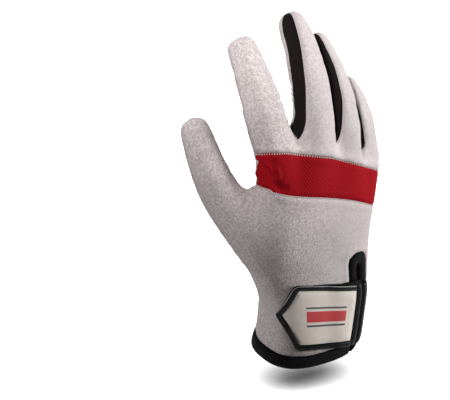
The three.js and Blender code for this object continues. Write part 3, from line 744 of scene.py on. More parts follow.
def bandLift(row, column):
    beside = column - columnCount if column >= indexPalm else column
    bottom = readTable(handForm["bandBottomRows"], row) * readTable(handForm["bandBottomLift"], beside)
    return bottom + readTable(handForm["bandTopRows"], row) * readTable(handForm["bandTopLift"], beside)


def slitCorner(row, column):
    return {12: 1, 15: -1}.get(column, 0) if row == handForm["slitTopRow"] + 1 else 0


def rowHeight(row, column):
    level = handForm["rows"][row][0]
    line = handForm["knuckles"]
    rows = handForm["knuckleRows"]
    across = (handPoint(level, columnAngle(column, level))[0] + line["start"]) / line["span"]
    fall = line["linear"] * across + line["square"] * across * across
    tilt = rows["share"] * smooth((row - rows["from"]) / (rows["most"] - rows["from"]))
    tilt += (1 - rows["share"]) * smooth((row - rows["most"]) / (rows["all"] - rows["most"]))
    bindingTop = handForm["rows"][1][0]
    lowered = bindingTop + (level - bindingTop) * (1 - sidePanelDrop(row, column))
    rounded = handForm["slitRounding"] * abs(slitCorner(row, column))
    lifted = bandLift(row, column)
    return (level if row == 0 else lowered) - tilt * (fall - line["middle"]) - rounded + lifted


def sinkAt(row, column):
    sink = 0
    for dentRow, dentColumn, rows, columns, depth in handForm["dents"]:
        beside = abs(column - dentColumn)
        across = min(beside, columnCount - beside) / columns
        sink += depth * (1 - smooth(across)) * (1 - smooth(abs(row - dentRow) / rows))
    ruffles = handForm["ruffles"]
    if ruffles["from"] < column < ruffles["to"]:
        sink += (-1) ** column * ruffles["height"] * readTable(handForm["ruffleRows"], row)
    return sink


def direction(bend, lean):
    b = math.radians(bend)
    a = math.radians(lean)
    return np.array([math.sin(a) * math.cos(b), math.sin(b), math.cos(a) * math.cos(b)])


def axisPath(root, length, directionAt):
    points = [np.array(root, float)]
    headings = []
    for i in range(pathSteps + 1):
        headings.append(directionAt(i / pathSteps))
        points.append(points[i] + headings[i] * length / pathSteps)

    def read(t):
        i = min(pathSteps - 1, math.floor(t * pathSteps))
        return lerp(points[i], points[i + 1], t * pathSteps - i), headings[i], points[i] - points[0]

    return read


def ringFrame(heading, roll):
    palmward = unit(np.array([0, 1, 0]) - heading * heading[1])
    across = np.cross(palmward, heading)
    r = math.radians(roll)
    turned = palmward * math.cos(r) - across * math.sin(r)
    return np.cross(turned, heading), turned


def stationsWithTip(stations, tipShare):
    rows = [(t, 1.0) for t in stations]
    for angle in fingerForm["tipAngles"]:
        a = math.radians(angle)
        rows.append((1 - tipShare + tipShare * math.sin(a), math.cos(a) ** fingerForm["tipBluntness"]))
    return rows


def fingerAngles(finger, t):
    thumbBack = 360 - readTable(finger["thumbEdge"], t)
    littleBack = readTable(finger["littleEdge"], t)
    palm = readTable(fingerForm["palmEdge"], t)
    thumbPalm = 360 - readTable(finger.get("thumbPalm", fingerForm["palmEdge"]), t)
    side = handForm["sideColumns"]
    angles = list(np.linspace(thumbBack - 360, littleBack, handForm["backPerFinger"] + 1))
    angles += [lerp(littleBack, palm, k / side) for k in range(1, side)]
    angles += list(np.linspace(palm, thumbPalm, handForm["palmPerFinger"] + 1))
    angles += [lerp(thumbPalm, thumbBack, k / side) for k in range(1, side)]
    return angles


def fingerRings(finger):
    atRoot, atMiddle, atEnd = finger["bends"]
    middleJoint, endJoint = fingerForm["jointAt"]
    spread = fingerForm["jointSpread"]

    def directionAt(t):
        bent = atMiddle * smoothAt(t, middleJoint, spread) + atEnd * smoothAt(t, endJoint, spread)
        return direction(atRoot + bent, finger["lean"] + finger["curve"] * (1 - 2 * t))

    path = axisPath(finger["root"], finger["length"], directionAt)
    rings = []
    for t, shrink in stationsWithTip(fingerForm["stations"], finger["tip"]):
        point, heading, _ = path(t)
        across, palmward = ringFrame(heading, finger["roll"])
        width = readTable(finger["width"], t) * shrink
        depth = readTable(finger["depth"], t) * shrink
        slope = finger["rise"] * (1 - smooth(t / fingerForm["webLength"])) / depth
        crease = fingerForm["jointCrease"] if t in fingerForm["jointAt"] else 0
        ring = []
        for angle in fingerAngles(finger, t):
            sine = math.sin(math.radians(angle))
            cosine = math.cos(math.radians(angle))
            reach = depth - crease if cosine < 0 else depth
            x = width * signedPower(sine, fingerForm["squareness"])
            y = -reach * signedPower(cosine, fingerForm["squareness"])
            ring.append(point + across * x + palmward * y + heading * slope * y)
        rings.append(ring)
    return rings


def thumbRings(hole):
    form = thumbForm

    def directionAt(t):
        bend = form["bend"] + form["bendMore"] * smoothAt(t, form["bendAt"], form["bendSpread"])
        turned = smoothAt(t, form["straightenAt"], form["straightenSpread"])
        return direction(bend, form["lean"] + form["straighten"] * turned)

    path = axisPath(form["root"], form["length"], directionAt)
    rings = []
    for t, shrink in stationsWithTip(form["stations"], form["tip"]):
        point, heading, travel = path(t)
        across, palmward = ringFrame(heading, form["roll"])
        width = readTable(form["width"], t) * shrink
        depth = readTable(form["depth"], t) * shrink
        merge = smooth(t / form["merge"])
        ring = []
        for k, angle in enumerate(form["angles"]):
            a = math.radians(angle)
            rounded = point + across * width * math.sin(a) - palmward * depth * math.cos(a)
            fromWeb = math.radians((k - form["webOuterPoint"]) * 360 / len(hole))
            web = (1 - math.cos(fromWeb)) / 2
            out = lerp(1, form["webOut"], web)
            up = lerp(1, form["webUp"], web)
            reach = travel * np.array([out, out, up])
            ring.append(lerp(hole[k] + reach, rounded, merge))
        rings.append(ring)
    return rings


class Net:
    def __init__(self):
        self.points = []
        self.cells = []

    def add(self, point):
        self.points.append(np.array(point, float))
        return len(self.points) - 1

    def addCell(self, corners, part, row, column):
        self.cells.append((corners, part, row, column))

    def closeTube(self, start, rows, pairs, part):
        below = start
        rings = [start]
        for row, ring in enumerate(rows):
            above = [self.add(point) for point in ring]
            for k in range(len(above)):
                n = (k + 1) % len(above)
                self.addCell([below[k], below[n], above[n], above[k]], part, row, k)
            below = above
            rings.append(above)
        for n in range(len(pairs) - 1):
            a, b = pairs[n]
            c, d = pairs[n + 1]
            self.addCell([below[a], below[b], below[d], below[c]], part, "tip", n)
        return rings


def buildNet():
    net = Net()
    perBack = handForm["backPerFinger"]
    perPalm = handForm["palmPerFinger"]
    side = handForm["sideColumns"]
    fingers = fingerForm["fingers"]
    rings = [fingerRings(finger) for finger in fingers]

    def palmStart(finger):
        return littlePalm + perPalm * (3 - finger)

    top = [None] * columnCount
    for finger in range(4):
        base = rings[finger][0]
        for k in range(1, perBack):
            top[perBack * finger + k] = base[k]
        for k in range(1, perPalm):
            top[palmStart(finger) + k] = base[ringPalmStart + k]
    index = rings[0][0]
    little = rings[3][0]
    top[0] = index[0]
    top[indexPalm] = index[ringPalmEnd]
    top[littleBack] = little[ringBackEnd]
    top[littlePalm] = little[ringPalmStart]
    for k in range(1, side):
        top[littleBack + k] = little[ringBackEnd + k]
        top[indexPalm + k] = index[ringPalmEnd + k]
    crotchPoints = []
    for finger in range(3):
        a = rings[finger][0]
        b = rings[finger + 1][0]
        drop = np.array([0, 0, -fingerForm["webDrop"][finger]])
        top[perBack * (finger + 1)] = lerp(a[ringBackEnd], b[0], fingerForm["crotchShare"])
        top[palmStart(finger)] = lerp(a[ringPalmStart], b[ringPalmEnd], 0.5) + drop
        crotchPoints.append([lerp(a[ringBackEnd + k], b[-k], 0.5) + drop for k in (1, 2)])

    grid = []
    for row, (_, roots) in enumerate(handForm["rows"]):
        line = []
        for column in range(columnCount):
            z = rowHeight(row, column)
            turn = handForm["slitTurn"] * slitCorner(row, column)
            point = handPoint(z, columnAngle(column, z) + turn)
            point[:2] = lerp(point[:2], top[column][:2], roots)
            inward = unit(np.array([-point[0], -point[1], 0]))
            line.append(net.add(point + inward * sinkAt(row, column)))
        grid.append(line)
    for finger, shift in enumerate(fingerForm["crotchShift"]):
        top[perBack * (finger + 1)] = top[perBack * (finger + 1)] + np.array(shift)
    grid.append([net.add(lerp(top[c], net.points[grid[-1][c]], 0.5)) for c in range(columnCount)])
    grid.append([net.add(point) for point in top])
    crotch = [[net.add(point) for point in pair] for pair in crotchPoints]

    holeRow = thumbForm["holeRow"]
    holeTop = holeRow + thumbForm["holeRows"]
    for row in range(topRow):
        for column in range(columnCount):
            if holeRow <= row < holeTop and column >= indexPalm:
                continue
            n = (column + 1) % columnCount
            corners = [grid[row][column], grid[row][n], grid[row + 1][n], grid[row + 1][column]]
            net.addCell(corners, "hand", row, column)

    net.rings = {}
    line = grid[topRow]
    for finger, form in enumerate(fingers):
        base = [line[perBack * finger + k] for k in range(perBack + 1)]
        base += [line[littleBack + 1], line[littleBack + 2]] if finger == 3 else crotch[finger]
        base += [line[palmStart(finger) + k] for k in range(perPalm + 1)]
        base += [line[indexPalm + 1], line[indexPalm + 2]] if finger == 0 else crotch[finger - 1][::-1]
        net.rings[form["name"]] = net.closeTube(base, rings[finger][1:], fingerTipPairs, form["name"])

    hole = [grid[holeRow + n][0] for n in range(holeTop - holeRow)]
    hole += [grid[holeTop][(columnCount - n) % columnCount] for n in range(side)]
    hole += [grid[holeTop - n][indexPalm] for n in range(holeTop - holeRow)]
    hole += [grid[holeRow][indexPalm + n] for n in range(side)]
    ringsOfThumb = thumbRings([net.points[i] for i in hole])
    net.rings["thumb"] = net.closeTube(hole, ringsOfThumb, thumbTipPairs, "thumb")
    net.grid = grid
    return net


pieceNames = [
    "palm_panel", "finger_back", "hand_back", "cuff_side_panel", "knuckle_band",
    "fourchette_index_middle", "fourchette_middle_ring", "fourchette_ring_little",
    "hem_binding", "slit_binding", "slit_opening",
]
stripNames = pieceNames[5:8]
darkNames = ["knuckle_band"] + stripNames


def handPiece(row, column):
    fromRow, toRow = handForm["bandRows"]
    panel = handForm["sidePanel"]
    slit = handForm["slitColumn"]
    if row == 0:
        return "slit_opening" if column == slit else "hem_binding"
    if abs(column - slit) <= 1 and row <= handForm["slitTopRow"]:
        return "slit_opening" if column == slit and row < handForm["slitTopRow"] else "slit_binding"
    if littleBack + 2 <= column < indexPalm:
        onSidePanel = panel["from"] <= column < panel["to"] and row < panel["topRow"]
        return "cuff_side_panel" if onSidePanel else "palm_panel"
    if row < fromRow:
        return "hand_back"
    return "knuckle_band" if row < toRow else "finger_back"


def pieceOf(part, row, column):
    if part == "hand":
        return handPiece(row, column)
    if part == "thumb":
        return "palm_panel" if row == "tip" or ringPalmStart <= column < ringPalmEnd else "hand_back"
    finger = [form["name"] for form in fingerForm["fingers"]].index(part)
    lastTipCell = len(fingerTipPairs) - 2
    littleSide = column == 0 if row == "tip" else ringBackEnd <= column < ringPalmStart
    thumbSide = column == lastTipCell if row == "tip" else column >= ringPalmEnd
    if littleSide and finger < 3:
        return stripNames[finger]
    if thumbSide and finger > 0:
        return stripNames[finger - 1]
    if row == "tip":
        return "palm_panel"
    onBack = column < ringBackEnd
    if finger == 0:
        onBack = onBack or column >= ringPalmEnd
    if finger == 3:
        onBack = column < ringPalmStart - 1
    return "finger_back" if onBack else "palm_panel"


# Where a cell lies on the flat cloth, in millimetres, for the weaves
weaveForm = {
    "handColumn": 4.6,
    "fingerColumn": 4.0,
    "rootRows": [138, 146],
    "fingerLength": 72,
    "tipStations": [0.88, 0.92, 0.96, 1.0],
    "tipRows": (90, 94),
}


def cellCorners(part, row, column):
    form = weaveForm
    width = form["handColumn"] if part == "hand" else form["fingerColumn"]
    left = column * width
    right = left + width
    if part == "hand":
        heights = [z for z, _ in handForm["rows"]] + form["rootRows"]
        low, high = heights[row : row + 2]
    elif row == "tip":
        low, high = form["tipRows"]
    else:
        stations = fingerForm["stations"] + form["tipStations"]
        low, high = (t * form["fingerLength"] for t in stations[row : row + 2])
    return [(left, low), (right, low), (right, high), (left, high)]


class Skin:
    def __init__(self, net):
        self.points = np.array(net.points)
        self.quads = np.array([cell[0] for cell in net.cells])
        self.pieces = np.array([pieceNames.index(pieceOf(*cell[1:])) for cell in net.cells])
        self.flat = np.array([cellCorners(*cell[1:]) for cell in net.cells], float)

    def divide(self):
        points = self.points
        quads = self.quads
        sides = np.stack([quads, np.roll(quads, -1, axis=1)], axis=2)
        keys = np.sort(sides, axis=2).reshape(-1, 2)
        edges, edgeOf, uses = np.unique(keys, axis=0, return_inverse=True, return_counts=True)
        edgeOf = edgeOf.reshape(-1, 4)
        facePoints = points[quads].mean(axis=1)
        faceSum = np.zeros((len(edges), 3))
        np.add.at(faceSum, edgeOf, facePoints[:, None, :])
        middles = points[edges].mean(axis=1)
        border = uses == 1
        inner = (middles + faceSum / uses[:, None]) / 2
        edgePoints = np.where(border[:, None], middles, inner)

        count = len(points)
        faces = np.zeros(count)
        faceMean = np.zeros((count, 3))
        np.add.at(faces, quads, 1)
        np.add.at(faceMean, quads, facePoints[:, None, :])
        edgeMean = np.zeros((count, 3))
        valence = np.zeros(count)
        np.add.at(edgeMean, edges, middles[:, None, :])
        np.add.at(valence, edges, 1)
        n = valence[:, None]
        moved = (faceMean / faces[:, None] + 2 * edgeMean / n + (n - 3) * points) / n
        onBorder = np.zeros(count, bool)
        onBorder[edges[border].ravel()] = True
        borderMean = np.zeros((count, 3))
        np.add.at(borderMean, edges[border], middles[border][:, None, :])
        moved[onBorder] = points[onBorder] / 2 + borderMean[onBorder] / 4

        self.points = np.concatenate([moved, edgePoints, facePoints])
        corner = edgeOf + count
        centre = np.arange(len(quads)) + count + len(edges)
        children = []
        flats = []
        middle = (self.flat + np.roll(self.flat, -1, axis=1)) / 2
        heart = self.flat.mean(axis=1)
        for k in range(4):
            before = (k + 3) % 4
            quad = [None] * 4
            flat = [None] * 4
            quad[k] = quads[:, k]
            quad[(k + 1) % 4] = corner[:, k]
            quad[(k + 2) % 4] = centre
            quad[before] = corner[:, before]
            flat[k] = self.flat[:, k]
            flat[(k + 1) % 4] = middle[:, k]
            flat[(k + 2) % 4] = heart
            flat[before] = middle[:, before]
            children.append(np.stack(quad, axis=1))
            flats.append(np.stack(flat, axis=1))
        self.quads = np.stack(children, axis=1).reshape(-1, 4)
        self.flat = np.stack(flats, axis=1).reshape(-1, 4, 2)
        self.pieces = np.repeat(self.pieces, 4)
        self.edges = edges
        self.edgeStart = count

    def normals(self):
        a, b, c, d = (self.points[self.quads[:, k]] for k in range(4))
        faces = np.cross(c - a, d - b)
        total = np.zeros_like(self.points)
        np.add.at(total, self.quads, faces[:, None, :])
        return total / np.maximum(np.linalg.norm(total, axis=1), 1e-9)[:, None]


def seamPoints(skin, chosen):
    sides = np.stack([skin.quads, np.roll(skin.quads, -1, axis=1)], axis=2).reshape(-1, 2)
    owner = np.repeat(skin.pieces, 4)
    keys = np.sort(sides, axis=1)
    order = np.lexsort((keys[:, 1], keys[:, 0]))
    keys = keys[order]
    owner = owner[order]
    same = np.all(keys[1:] == keys[:-1], axis=1)
    pairs = np.nonzero(same)[0]
    found = []
    for i in pairs:
        if chosen(pieceNames[owner[i]], pieceNames[owner[i + 1]]):
            found.append(keys[i])
    return np.array(found)


def treeOf(points):
    tree = kdtree.KDTree(len(points))
    for i, point in enumerate(points):
        tree.insert(point, i)
    tree.balance()
    return tree


def distanceTo(points, targets):
    tree = treeOf(targets)
    return np.array([tree.find(point)[2] for point in points])


skinForm = {
    "levels": 3,
    "fullness": 0.28,
    "grooveDepth": 0.55,
    "grooveWidth": 1.3,
    "ridge": 0.22,
    "ridgeAt": 3.2,
    "pucker": 0.5,
    "darkSink": 0.35,
    "lightRaise": 0.3,
    "edgeWidth": 2.2,
    "softFolds": 0.35,
    "softFoldSize": 17,
    "fineFolds": 0.10,
    "fineFoldSize": 5,
    "wall": 1.5,
    "ridgeSpread": 1.3,
    "ridgeWander": 1.6,
    "wanderScale": 0.22,
    "fineFoldShift": (7, 3, 1),
    # how a crease fades at its ends, how far it reaches and the lip it raises, in its own widths
    "creaseEnds": 0.7,
    "creaseReach": 4,
    "creaseLip": 0.45,
    "creaseLipAt": 1.9,
}

# Creases: the part's net line they follow, how deep and how wide they are, in millimetres
creases = [
    # the band's pinch at the thumb side, the roll under it and the hollow beside them
    {"hand": [(15.3, 42.0), (15.2, 43.2), (15.0, 44.4), (14.6, 45.3), (14.1, 45.5), (13.6, 45.0)],
     "depth": 2.5, "width": 1.5},
    {"hand": [(14.4, 41.8), (14.2, 43.2), (14.0, 44.3), (13.6, 44.6)], "depth": -1.3, "width": 2.4},
    {"hand": [(14.9, 46.4), (14.4, 46.9), (13.9, 46.8)], "depth": -0.7, "width": 1.4},
    {"hand": [(13.9, 46.6), (13.5, 46.9), (13.4, 47.6), (13.6, 48.6)], "depth": 2.6, "width": 2.6},
    # the cuff's cloth sinks in beside the strap's lower edge
    {"hand": [(5.6, 3.9), (4.5, 4.0), (3.2, 4.8), (2.2, 5.6)], "depth": 1.7, "width": 2.8},
    # small puckers of the palm's edge beside the middle finger's strip
    {"middle": [(3.6, 12.2), (3.4, 13.2)], "depth": 0.9, "width": 0.7},
    {"middle": [(4.3, 12.2), (4.2, 13.2)], "depth": 1.0, "width": 0.7},
    {"middle": [(5.0, 12.2), (4.9, 13.2)], "depth": 0.8, "width": 0.7},
    # the heel's fold and the palm's soft diagonal folds
    {"hand": [(6, 18), (6, 22), (7, 26), (7, 30), (6, 36)], "depth": 1.6, "width": 2.2},
    {"hand": [(8, 20), (9, 24), (9, 28)], "depth": 0.9, "width": 2.0},
    {"hand": [(14, 21), (13, 25), (12, 29), (11, 33)], "depth": 1.1, "width": 2.4},
    {"hand": [(15, 41), (14, 37), (13, 33), (12, 30)], "depth": 1.3, "width": 2.4},
    {"hand": [(12, 41), (10, 38), (8, 37), (6, 38)], "depth": 1.2, "width": 2.6},
    {"hand": [(17, 27), (16, 28), (15, 30)], "depth": 0.9, "width": 1.8},
    {"hand": [(17, 33), (16, 33), (15, 34)], "depth": 0.9, "width": 1.8},
]
# the folds across each finger's palm side: row at the edges and in the middle, depth, width
fingerFolds = [(5, 5.1, 1.1, 1.1), (9, 9.1, 1.0, 1.0), (2, 1.4, 1.0, 1.3)]
for name in ("index", "middle", "ring", "little"):
    for row, middle, depth, width in fingerFolds:
        stops = [(row, 7.6), (row, 8.5), (middle, 10), (row, 11.5), (row, 12)]
        creases.append({name: stops, "depth": depth, "width": width})
    creases.append({name: [(5.7, 8), (5.8, 10), (5.7, 11.6)], "depth": 0.7, "width": 0.9})
creases.append({"thumb": [(6, 7.5), (6, 8.5), (6, 10), (6, 11.5)], "depth": 1.1, "width": 1.2})
creases.append({"thumb": [(3, 7.5), (3.2, 8.5), (3, 10), (2.6, 11.5)], "depth": 0.9, "width": 1.6})


def netPlace(points, rows, row, column):
    def along(line):
        left = math.floor(column)
        return lerp(points[line[left % len(line)]], points[line[(left + 1) % len(line)]], column - left)

    low = min(math.floor(row), len(rows) - 2)
    return lerp(along(rows[low]), along(rows[low + 1]), row - low)


def creaseLine(net, crease, points):
    for part, stops in crease.items():
        if part in ("depth", "width"):
            continue
        rows = net.grid if part == "hand" else net.rings[part]
        stations = [netPlace(points, rows, row, column) for row, column in stops]
    stations = np.array(stations)
    steps = np.linspace(0, len(stations) - 1, 12 * (len(stations) - 1) + 1)
    line = np.stack([np.interp(steps, np.arange(len(stations)), stations[:, k]) for k in range(3)], axis=1)
    return line, steps / steps[-1]


def dressSkin(net, skin):
    form = skinForm
    points = skin.points
    normals = skin.normals()
    anySeam = seamPoints(skin, lambda a, b: a != b)
    darkSeam = seamPoints(skin, lambda a, b: a != b and (a in darkNames) != (b in darkNames))
    toSeam = distanceTo(points, points[np.unique(anySeam)])
    toDark = distanceTo(points, points[np.unique(darkSeam)])

    rise = np.full(len(points), form["fullness"])
    groove = np.exp(-((toSeam / form["grooveWidth"]) ** 2))
    ridge = np.exp(-(((toSeam - form["ridgeAt"]) / form["grooveWidth"] / form["ridgeSpread"]) ** 2))
    wander = np.array([noise.noise(Vector(p) * form["wanderScale"]) for p in points])
    shift = Vector(form["fineFoldShift"])
    fine = np.array([noise.noise(Vector(p) / form["fineFoldSize"] + shift) for p in points])
    soft = np.array([noise.noise(Vector(p) / form["softFoldSize"]) for p in points])
    rise -= form["grooveDepth"] * groove * (1 + form["pucker"] * wander)
    rise += form["ridge"] * ridge * (1 + form["ridgeWander"] * wander)
    rise += form["softFolds"] * soft + form["fineFolds"] * fine

    for crease in creases:
        line, along = creaseLine(net, crease, points)
        tree = treeOf(line)
        near = [tree.find(point) for point in points]
        away = np.array([hit[2] for hit in near]) / crease["width"]
        ends = np.sin(np.pi * np.clip(along[[hit[1] for hit in near]], 0, 1)) ** form["creaseEnds"]
        close = away < form["creaseReach"]
        rise -= np.where(close, crease["depth"] * ends * np.exp(-(away**2)), 0)
        lip = form["creaseLip"] * crease["depth"] * ends * np.exp(-((away - form["creaseLipAt"]) ** 2))
        rise += np.where(close, lip, 0)

    edge = np.exp(-((toDark / form["edgeWidth"]) ** 2))
    skin.common = points + normals * rise[:, None]
    skin.edge = edge
    # the seam groove's weight, which paints shade into the grooves
    skin.seam = groove
    skin.out = normals


def clothWall(name, skin, coarse):
    form = skinForm
    index = pieceNames.index(name)
    fineQuads = skin.quads[skin.pieces == index]
    coarseQuads = coarse.quads[coarse.pieces == index]
    shift = -form["darkSink"] if name in darkNames else form["lightRaise"]
    outer = skin.common + skin.out * (skin.edge * shift)[:, None]
    inner = outer - skin.out * form["wall"]

    used = np.unique(fineQuads)
    usedCoarse = np.unique(coarseQuads)
    outerAt = {int(v): i for i, v in enumerate(used)}
    innerAt = {int(v): i + len(used) for i, v in enumerate(usedCoarse)}
    middleOf = {tuple(edge): i + skin.edgeStart for i, edge in enumerate(skin.edges.tolist())}

    faces = [[outerAt[v] for v in quad] for quad in fineQuads.tolist()]
    faces += [[innerAt[v] for v in quad][::-1] for quad in coarseQuads.tolist()]
    directed = set()
    for a, b, c, d in coarseQuads.tolist():
        directed.update(((a, b), (b, c), (c, d), (d, a)))
    for a, b in sorted(directed):
        if (b, a) in directed:
            continue
        middle = outerAt[middleOf[(a, b) if a < b else (b, a)]]
        faces.append([innerAt[a], innerAt[b], outerAt[b], middle, outerAt[a]])

    mesh = bpy.data.meshes.new(name + ".cloth")
    place = np.concatenate([outer[used], inner[usedCoarse]]) * mm
    mesh.from_pydata(place.tolist(), [], faces)
    layer = mesh.uv_layers.new(name="cloth")
    flat = np.zeros((len(mesh.loops), 2))
    fineFlat = skin.flat[skin.pieces == index].reshape(-1, 2)
    coarseFlat = coarse.flat[coarse.pieces == index][:, ::-1].reshape(-1, 2)
    flat[: len(fineFlat)] = fineFlat
    flat[len(fineFlat) : len(fineFlat) + len(coarseFlat)] = coarseFlat
    layer.data.foreach_set("uv", flat.ravel())
    # the seam groove's weight goes to the towelling as painted shade
    seam = mesh.attributes.new("seam", "FLOAT", "POINT")
    seam.data.foreach_set("value", np.concatenate([skin.seam[used], np.zeros(len(usedCoarse))]))
    mesh.polygons.foreach_set("use_smooth", np.ones(len(mesh.polygons), bool))
    return putInScene(name + ".cloth", mesh)


def finishPiece(piece, material, node, slot):
    if not piece.data.materials:
        piece.data.materials.append(materials[material])
    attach(piece, "root")
    if node:
        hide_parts(node)
    return piece


net = buildNet()
skin = Skin(net)
for level in range(skinForm["levels"]):
    if level == skinForm["levels"] - 1:
        coarse = copy.copy(skin)
    skin.divide()
dressSkin(net, skin)
print("skin is divided:", len(skin.quads), "cells")

clothPieces = [
    # node, material, slot
    ("palm_panel", "towelling", "towelling"),
    ("finger_back", "towelling", "towelling"),
    ("hand_back", "towelling", "towelling"),
    ("cuff_side_panel", "cuffCloth", "cuff_cloth"),
    ("knuckle_band", "redMesh", "red_mesh"),
    ("fourchette_index_middle", "blackMesh", "black_mesh"),
    ("fourchette_middle_ring", "blackMesh", "black_mesh"),
    ("fourchette_ring_little", "blackMesh", "black_mesh"),
]
for node, material, slot in clothPieces:
    finishPiece(clothWall(node, skin, coarse), material, node, slot)
print("cloth is cut:", len(clothPieces), "panels")

# Bindings: a padded tape that follows the cloth's edge

tapeForm = {"crown": 0.8, "squareness": 0.45, "around": 20, "probe": 0.5}


def tapeSection(count, squareness):
    section = []
    for k in range(count):
        a = 2 * math.pi * k / count
        across = 0.5 + 0.5 * signedPower(math.cos(a), squareness)
        lift = 0.5 + 0.5 * signedPower(math.sin(a), tapeForm["crown"])
        section.append((across, lift))
    return section


def closedPiece(name, mesh):
    mesh.polygons.foreach_set("use_smooth", np.ones(len(mesh.polygons), bool))
    work = bmesh.new()
    work.from_mesh(mesh)
    bmesh.ops.recalc_face_normals(work, faces=work.faces)
    work.to_mesh(mesh)
    work.free()
    return putInScene(name, mesh)


def sweepTape(name, place, steps, squareness=tapeForm["squareness"], around=tapeForm["around"]):
    section = tapeSection(around, squareness)
    vertices = []
    for step in steps:
        for across, lift in section:
            vertices.append(place(step, across, lift))
    faces = []
    for s in range(len(steps) - 1):
        for k in range(around):
            n = (k + 1) % around
            a = s * around
            b = (s + 1) * around
            faces.append([a + k, b + k, b + n, a + n])
    faces.append(list(range(around)))
    faces.append([len(vertices) - around + k for k in range(around)][::-1])
    mesh = bpy.data.meshes.new(name)
    mesh.from_pydata([tuple(np.array(v) * mm) for v in vertices], [], faces)
    return closedPiece(name, mesh)


def surfaceAt(z, angle):
    point = handPoint(z, angle)
    step = tapeForm["probe"]
    across = handPoint(z, angle + step) - handPoint(z, angle - step)
    up = handPoint(z + step, angle) - handPoint(z - step, angle)
    return point, unit(np.cross(across, up))


hemForm = {
    "height": 7.9, "below": 0.4, "out": 1.1, "in": 2.5, "steps": 260, "endGap": 0.4,
    # how high the wave of its edge is, how fast it runs round and up, and where the noise is read
    "wobble": 0.15, "wobbleTurn": 0.09, "wobbleUp": 0.1, "wobbleFrom": 3,
}


def hemPlace(angle, across, lift):
    form = hemForm
    z = across * form["height"] - form["below"]
    point, out = surfaceAt(max(z, 0), angle)
    point = point + np.array([0, 0, min(z, 0)])
    spot = Vector((angle * form["wobbleTurn"], form["wobbleFrom"], z * form["wobbleUp"]))
    wave = form["wobble"] * noise.noise(spot)
    return point + out * (lerp(-form["in"], form["out"], lift) + wave)


def buildHem():
    columns = handForm["cuffColumns"]
    start = readTable(columns, handForm["slitColumn"] + 1) + hemForm["endGap"]
    end = readTable(columns, handForm["slitColumn"]) + 360 - hemForm["endGap"]
    return sweepTape("hem_binding.tape", hemPlace, np.linspace(start, end, hemForm["steps"]))


slitForm = {
    "low": 1.5, "archHeight": 54,
    # angle of the leg by its height
    "outerLeft": [(0, 8), (40, 14.5), (48, 17), (56, 18.5)],
    "innerLeft": [(0, 19), (40, 24.5), (56, 25.8)],
    "innerRight": [(0, 26), (40, 30.5), (56, 31.4)], "outerRight": [(0, 46), (56, 46)],
    "archOuter": 10.5, "archInner": 2.2, "archRounding": 0.8, "out": 1.5, "in": 2.4, "steps": 120,
    "legShare": 0.38, "squareness": 0.75,
}


def slitOutline(form, share, inner):
    side = "inner" if inner else "outer"
    rise = form["archInner"] if inner else form["archOuter"]
    leg = form["legShare"]
    up = min(1, share / leg, (1 - share) / leg)
    height = lerp(form["low"], form["archHeight"], up)
    left = readTable(form[side + "Left"], height)
    right = readTable(form[side + "Right"], height)
    if up < 1:
        return (left if share < leg else right), height
    turn = math.pi * (share - leg) / (1 - 2 * leg)
    middle = (left + right) / 2
    half = (right - left) / 2
    height = form["archHeight"] + rise * signedPower(math.sin(turn), form["archRounding"])
    return middle - half * signedPower(math.cos(turn), form["archRounding"]), height


def slitPlace(share, across, lift):
    outer = slitOutline(slitForm, share, False)
    inner = slitOutline(slitForm, share, True)
    angle = lerp(inner[0], outer[0], across)
    z = lerp(inner[1], outer[1], across)
    point, out = surfaceAt(z + hemDipAt(z, angle), angle)
    return point + out * lerp(-slitForm["in"], slitForm["out"], lift)


finishPiece(buildHem(), "blackBinding", "hem_binding", "black_binding")
slitSteps = np.linspace(0, 1, slitForm["steps"])
slitBinding = sweepTape("slit_binding.tape", slitPlace, slitSteps, slitForm["squareness"])
finishPiece(slitBinding, "blackBinding", "slit_binding", "black_binding")
print("bindings are sewn")

# The strap

strapForm = {
    "length": 70, "endAngle": 40, "level": 28, "binding": 3.8,
    "lift": 0.5, "liftOverSlit": 1.7, "slitFrom": 35, "slitFade": 15,
    "bindingThickness": 3.0, "faceThickness": 2.0, "faceDome": 0.5,
    "gap": 0.2, "printWidth": 34, "tipRounding": 2.2, "shoulderRounding": 5.0, "angleStep": 0.25,
    # the bead is the pale tube that paints the highlight on the piping's rim
    "barGroove": 0.5, "beadIn": 0.55, "beadSize": 0.42, "beadLift": 1.9, "beadSteps": 150, "beadPast": 3,
    # how far the dark tape stands above the strap: partly the foot of the slit's binding, partly a dark
    # sheet that paints the strap's shadow
    "foot": [(30, 0), (50, 1.6), (60, 3.4), (64, 4.5)],
    # along and height of the point, the two shoulders and the two far corners
    "tip": (1.8, 31.3), "highShoulder": (17.8, 52.2), "lowShoulder": (15, 6.2),
    "farHigh": (70, 40), "farLow": (70, 0.6), "barStart": [(0, 57.2), (42, 59.3)],
}


def strapAngles():
    table = []
    along = strapForm["length"]
    angle = strapForm["endAngle"]
    point = handPoint(strapForm["level"], angle)
    while along > -2:
        table.insert(0, (along, angle))
        angle -= strapForm["angleStep"]
        nextPoint = handPoint(strapForm["level"], angle)
        along -= np.linalg.norm(nextPoint - point)
        point = nextPoint
    return table


strapAngleTable = strapAngles()


def strapPoint(along, height, lift):
    angle = readTable(strapAngleTable, along)
    point, out = surfaceAt(height + hemDipAt(height, angle), angle)
    overSlit = smooth((along - strapForm["slitFrom"]) / strapForm["slitFade"])
    away = lerp(strapForm["lift"], strapForm["liftOverSlit"], overSlit)
    return point + out * (away + lift)


